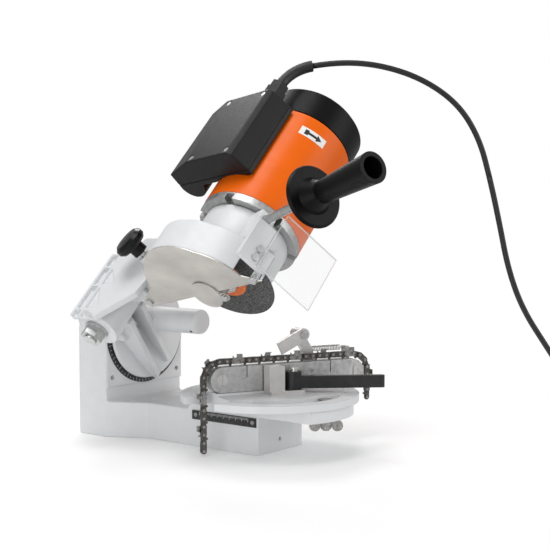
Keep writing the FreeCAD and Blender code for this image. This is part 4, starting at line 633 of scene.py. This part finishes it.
def cord_tie(materials):
    """Strap round all turns of the put-away coil, on the side away from where the cord comes in."""
    along = coil_side()
    at = coil_centre() + along * (COIL_RADIUS - COIL_STEP)
    at.z = 0
    half_long = COIL_STEP + CORD_DIAMETER / 2 + TIE_BESIDE
    high = COIL_STEP + CORD_DIAMETER + TIE_OVER
    corners = [(-half_long, TIE_LOW), (half_long, TIE_LOW), (half_long, high), (-half_long, high)]
    mesh = bmesh.new()
    loops = []
    for wide in (-TIE_WIDE / 2, TIE_WIDE / 2):
        for inset in (0, TIE_THICK):
            loop = []
            for reach, height in corners:
                reach -= inset if reach > 0 else -inset
                height += inset * TIE_UNDER_SHARE if height == TIE_LOW else -inset
                loop.append(mesh.verts.new(at + along * reach + CORD_OUT * wide + Z * height))
            loops.append(loop)
    for first, second in ((0, 1), (1, 3), (3, 2), (2, 0)):
        for k in range(4):
            m = (k + 1) % 4
            mesh.faces.new((loops[first][k], loops[first][m], loops[second][m], loops[second][k]))
    bmesh.ops.recalc_face_normals(mesh, faces=mesh.faces)
    return mesh_piece("cord_tie", mesh, materials["cord"], "base")


def build_cord(materials):
    """Two tubes on one line, upper and lower, cut where the line first drops below the split height."""
    line = cord_line(cord_controls())
    split = next(i for i, p in enumerate(line) if p.z < CORD_SPLIT_HEIGHT)
    upper_line, lower_line = line[:split + 1], line[split:]
    made = []
    for name, points in (("cord_upper", upper_line), ("cord_lower", lower_line)):
        mesh = bmesh.new()
        add_tube(mesh, points, CORD_DIAMETER / 2)
        made.append(mesh_piece(name, mesh, materials["cord"], None))
    upper, lower = made
    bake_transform(upper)
    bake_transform(lower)
    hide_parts("power_cord")
    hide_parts("cord_coil")
    cord_tie(materials)


# Castings and mouldings


def soft_piece(name, materials):
    """The node's own shape with its edges and corners rounded as cast or moulded."""
    body, material, slot, voxel, rounds = SOFT_PIECES[name]
    draft = bpy.data.objects.new("draft", nodes[name].data.copy())
    bpy.context.collection.objects.link(draft)
    remesh = draft.modifiers.new("remesh", "REMESH")
    remesh.mode = "VOXEL"
    remesh.voxel_size = voxel
    smooth = draft.modifiers.new("smooth", "SMOOTH")
    smooth.factor = SMOOTH_FACTOR
    smooth.iterations = rounds
    thin = draft.modifiers.new("thin", "DECIMATE")
    thin.ratio = FACES_KEPT
    bpy.context.view_layer.update()
    shown = draft.evaluated_get(bpy.context.evaluated_depsgraph_get())
    data = bpy.data.meshes.new_from_object(shown)
    data.name = f"{name}_soft"
    bpy.data.objects.remove(draft)
    data.materials.clear()
    data.materials.append(materials[material])
    data.polygons.foreach_set("use_smooth", [True] * len(data.polygons))
    made = bpy.data.objects.new(f"{name}_soft", data)
    bpy.context.collection.objects.link(made)
    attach(made, body)
    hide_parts(name)


# Label, marks, paper rings and painted shade of bores


def motor_point(along, around, lift):
    """Point on the motor tube, from the label's middle: along the spindle, round the tube, and out."""
    angle = LABEL_ANGLE + around / MOTOR_RADIUS
    out = ARM_UP * math.sin(angle) - ARM_BACK * math.cos(angle)
    return SPINDLE + ALONG * (LABEL_STATION + along) + out * (MOTOR_RADIUS + lift)


def add_wrapped(mesh, half_width, start, end, low, high, count):
    """Sheet on the motor tube, its half width given along the way round."""
    rows = []
    for i in range(count + 1):
        at = start + (end - start) * i / count
        half = half_width(at)
        rows.append([mesh.verts.new(motor_point(side * half, at, lift))
                     for side, lift in ((-1, low), (-1, high), (1, high), (1, low))])
    for first, second in zip(rows, rows[1:]):
        for k in range(4):
            j = (k + 1) % 4
            mesh.faces.new((first[k], first[j], second[j], second[k]))
    mesh.faces.new(rows[0])
    mesh.faces.new(list(reversed(rows[-1])))


def arrow_label(materials):
    """White plate with a plain arrow in the turning direction."""
    plate = bmesh.new()
    add_wrapped(plate, lambda at: LABEL_WIDE / 2, -LABEL_LONG / 2, LABEL_LONG / 2, 0, LABEL_PAPER, count=24)
    bmesh.ops.recalc_face_normals(plate, faces=plate.faces)
    mesh_piece("arrow_plate", plate, materials["white"], "arm")

    def head_half(at):
        return ARROW_HEAD_HALF * (at - ARROW_TIP) / (ARROW_NECK - ARROW_TIP) + ARROW_POINT_HALF

    arrow = bmesh.new()
    low, high = LABEL_PAPER, LABEL_PAPER + LABEL_INK
    add_wrapped(arrow, head_half, ARROW_TIP, ARROW_NECK, low, high, count=8)
    add_wrapped(arrow, lambda at: ARROW_SHAFT_HALF, ARROW_NECK, ARROW_TAIL, low, high, count=8)
    add_wrapped(arrow, lambda at: ARROW_FEATHER_HALF, ARROW_TAIL, ARROW_END, low, high, count=4)
    bmesh.ops.recalc_face_normals(arrow, faces=arrow.faces)
    mesh_piece("arrow_print", arrow, materials["ink_and_painted_shade"], "arm")


def ruler_marks(materials):
    """Lines along the ruler strip, every fifth one longer."""
    low, high = (Vector(c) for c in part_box("ruler_strip"))
    mesh = bmesh.new()
    pitch = (high.y - low.y - 2 * RULER_MARGIN) / RULER_SPACES
    for i in range(RULER_SPACES + 1):
        tall = RULER_SHORT_MARK if i % RULER_LONG_EVERY else RULER_LONG_MARK
        along = low.y + RULER_MARGIN + i * pitch
        at = Vector((low.x - MARK_PROUD / 2, along, high.z - MARK_INSET - tall / 2))
        add_block(mesh, at, (X, Y, Z), (MARK_PROUD, MARK_WIDE, tall))
    mesh_piece("ruler_marks", mesh, materials["white"], "base")


def angle_marks(materials):
    """Lines round the angle scale, above and below its middle."""
    low, high = (Vector(c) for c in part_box("angle_scale"))
    centre = Vector((0, low.y, (low.z + high.z) / 2))
    outer = (high.z - low.z) / 2
    mesh = bmesh.new()
    for degrees in range(-ANGLE_REACH, ANGLE_REACH + 1, ANGLE_STEP):
        angle = math.radians(degrees)
        tall = ANGLE_SHORT_MARK if degrees % ANGLE_LONG_EVERY else ANGLE_LONG_MARK
        for side in (-1, 1):
            out = Vector((math.sin(angle), 0, math.cos(angle))) * side
            at = centre + out * (outer - MARK_INSET - tall / 2) - Y * MARK_PROUD / 2
            add_block(mesh, at, (Y.cross(out), Y, out), (MARK_WIDE, MARK_PROUD, tall))
    mesh_piece("angle_marks", mesh, materials["white"], "base")


def blotters(materials):
    """Paper rings on both faces of the wheel, showing round the flanges."""
    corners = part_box("wheel_flanges")
    middle = (Vector(corners[0]) + Vector(corners[1])) / 2
    station = (middle - SPINDLE).dot(ALONG)
    mesh = bmesh.new()
    for side in (-1, 1):
        face = SPINDLE + ALONG * (station + side * WHEEL_HALF)
        add_ring(mesh, face, ALONG * side, BLOTTER_INNER, BLOTTER_OUTER, BLOTTER_THICK)
    mesh_piece("wheel_blotters", mesh, materials["blotter"], "rotor")


def painted_bore_shade(name, body, at, out, radius, materials):
    """Painted shade for the dark mouth of a small bore, as a thin black disc on the casting."""
    mesh = bmesh.new()
    turn = out.to_track_quat("Z", "Y").to_matrix().to_4x4()
    bmesh.ops.create_cone(mesh, cap_ends=True, segments=32, radius1=radius, radius2=radius,
                          depth=BORE_SHADE_THICK, matrix=Matrix.Translation(at) @ turn)
    mesh_piece(name, mesh, materials["ink_and_painted_shade"], body)


# Dressing of the frame's nodes

DRESS = {
    "casting": ["base_casting", "scale_plate", "turntable", "swivel_bracket", "arm_casting",
                "wheel_guard", "shield_bracket"],
    "cover": ["guard_cover", "hub_hatch"],
    "orange": ["motor_tube"],
    "plastic": ["terminal_tray", "terminal_lid", "cable_gland", "switch_rocker", "capacitor"],
    "cap": ["fan_cap", "cooling_fan", "handle_grip", "power_plug"],
    "gloss": ["depth_knob"],
    "zinc": ["rear_rail", "front_rail", "hinge_nut", "swivel_nut", "guard_screws"],
    "plain": ["stop_post", "stop_pawl", "clamp_block", "rail_screws"],
    "chain": ["chain_links"],
    "cutter": ["chain_cutters"],
    "rivet": ["chain_rivets", "ruler_rivets", "wing_nut", "table_clamp_bolt"],
    "bright": ["pawl_pin", "stop_spring", "swivel_stud", "hinge_bolt", "lift_spring", "handle_rod",
               "lid_screws", "spindle_shaft", "wheel_flanges", "spindle_nut", "spindle_bearings",
               "depth_screw"],
    "black": ["clamp_lever"],
    "grit": ["grinding_wheel"],
    "clear": ["shield"],
    "alloy": ["front_bell", "rear_bell"],
    "scale": ["angle_scale", "ruler_strip"],
    "cord": ["power_cord", "cord_coil", "strain_relief"],
    "iron": ["stator_core", "rotor_core"],
    "bronze": ["hinge_bushes"],
}


def make_materials():
    return {
        "casting": casting_paint(), "cover": rolled_steel(), "orange": motor_paint(),
        "plastic": moulded_plastic("lid_plastic", level=0.012, low=0.4, high=0.5, grain=1100, gloss=0.25),
        "cap": moulded_plastic("cap_plastic", level=0.004, low=0.34, high=0.42, grain=700, gloss=0.14),
        "gloss": polished_plastic(), "zinc": zinc_plate(), "plain": plain_steel(), "chain": chain_steel(),
        "cutter": cutter_chrome(), "rivet": rivet_steel(), "bright": bright_steel(),
        "black": black_steel(), "grit": abrasive(), "blotter": blotter_paper(), "clear": clear_sheet(),
        "alloy": cast_aluminium(), "scale": scale_black(), "cord": cord_rubber(), "iron": iron_sheets(),
        # The black print material also serves as painted shade for the bores
        "bronze": sintered_bronze(), "white": print_white(), "ink_and_painted_shade": print_and_shade_black(),
    }


def dress_nodes(materials):
    for name, targets in DRESS.items():
        for target in targets:
            data = nodes[target].data
            data.materials.clear()
            data.materials.append(materials[name])


# Stage


def lay_floor():
    mesh = bmesh.new()
    bmesh.ops.create_circle(mesh, cap_ends=True, segments=64, radius=FLOOR_RADIUS)
    floor = mesh_piece("floor", mesh, floor_white(), None)
    floor.location = (VIEW_TARGET.x, VIEW_TARGET.y, -FLOOR_DROP)


def light_surround():
    """White to the camera and through clear pieces, and a dimmer grey as light and in reflections."""
    world = bpy.data.worlds.new("studio")
    bpy.context.scene.world = world
    world.use_nodes = True
    tree = world.node_tree
    background = tree.nodes["Background"]
    background.inputs["Color"].default_value = (1, 1, 1, 1)
    path = tree.nodes.new("ShaderNodeLightPath")
    seen = tree.nodes.new("ShaderNodeMath")
    seen.operation = "MAXIMUM"
    tree.links.new(path.outputs["Is Camera Ray"], seen.inputs[0])
    tree.links.new(path.outputs["Is Transmission Ray"], seen.inputs[1])
    level = add(tree, "ShaderNodeMapRange", To_Min=SURROUND_LEVEL, To_Max=BACKDROP_LEVEL)
    tree.links.new(seen.outputs["Value"], level.inputs["Value"])
    tree.links.new(level.outputs["Result"], background.inputs["Strength"])


def lamp(name, at, size, power):
    data = bpy.data.lights.new(name, "AREA")
    data.size = size
    data.energy = power
    made = bpy.data.objects.new(name, data)
    bpy.context.collection.objects.link(made)
    made.location = at
    made.rotation_euler = (VIEW_TARGET - Vector(at)).to_track_quat("-Z", "Y").to_euler()


def camera():
    data = bpy.data.cameras.new("photo_view")
    data.sensor_width = CAMERA_SENSOR
    data.lens = CAMERA_LENS
    data.clip_start = CAMERA_NEAR
    made = bpy.data.objects.new("photo_view", data)
    bpy.context.collection.objects.link(made)
    made.location = CAMERA_AT
    made.rotation_euler = (math.radians(90 - CAMERA_DOWN), 0, math.radians(CAMERA_TURN))
    bpy.context.scene.camera = made


def main():
    bpy.context.scene.view_settings.view_transform = "Standard"
    camera()
    materials = make_materials()
    dress_nodes(materials)
    build_cord(materials)
    ruler_marks(materials)
    angle_marks(materials)
    blotters(materials)
    arrow_label(materials)
    # Painted shade: thin black discs for the mouths of two small bores
    painted_bore_shade("neck_bore_painted_shade", "arm", NECK_AT, NECK_OUT, NECK_BORE_RADIUS, materials)
    painted_bore_shade("bar_bore_painted_shade", "swivel", BAR_AT, BAR_OUT, BAR_BORE_RADIUS, materials)
    for name in SOFT_PIECES:
        soft_piece(name, materials)
    lay_floor()
    light_surround()
    for name, (at, size, power) in LAMPS.items():
        lamp(name, at, size, power)


main()
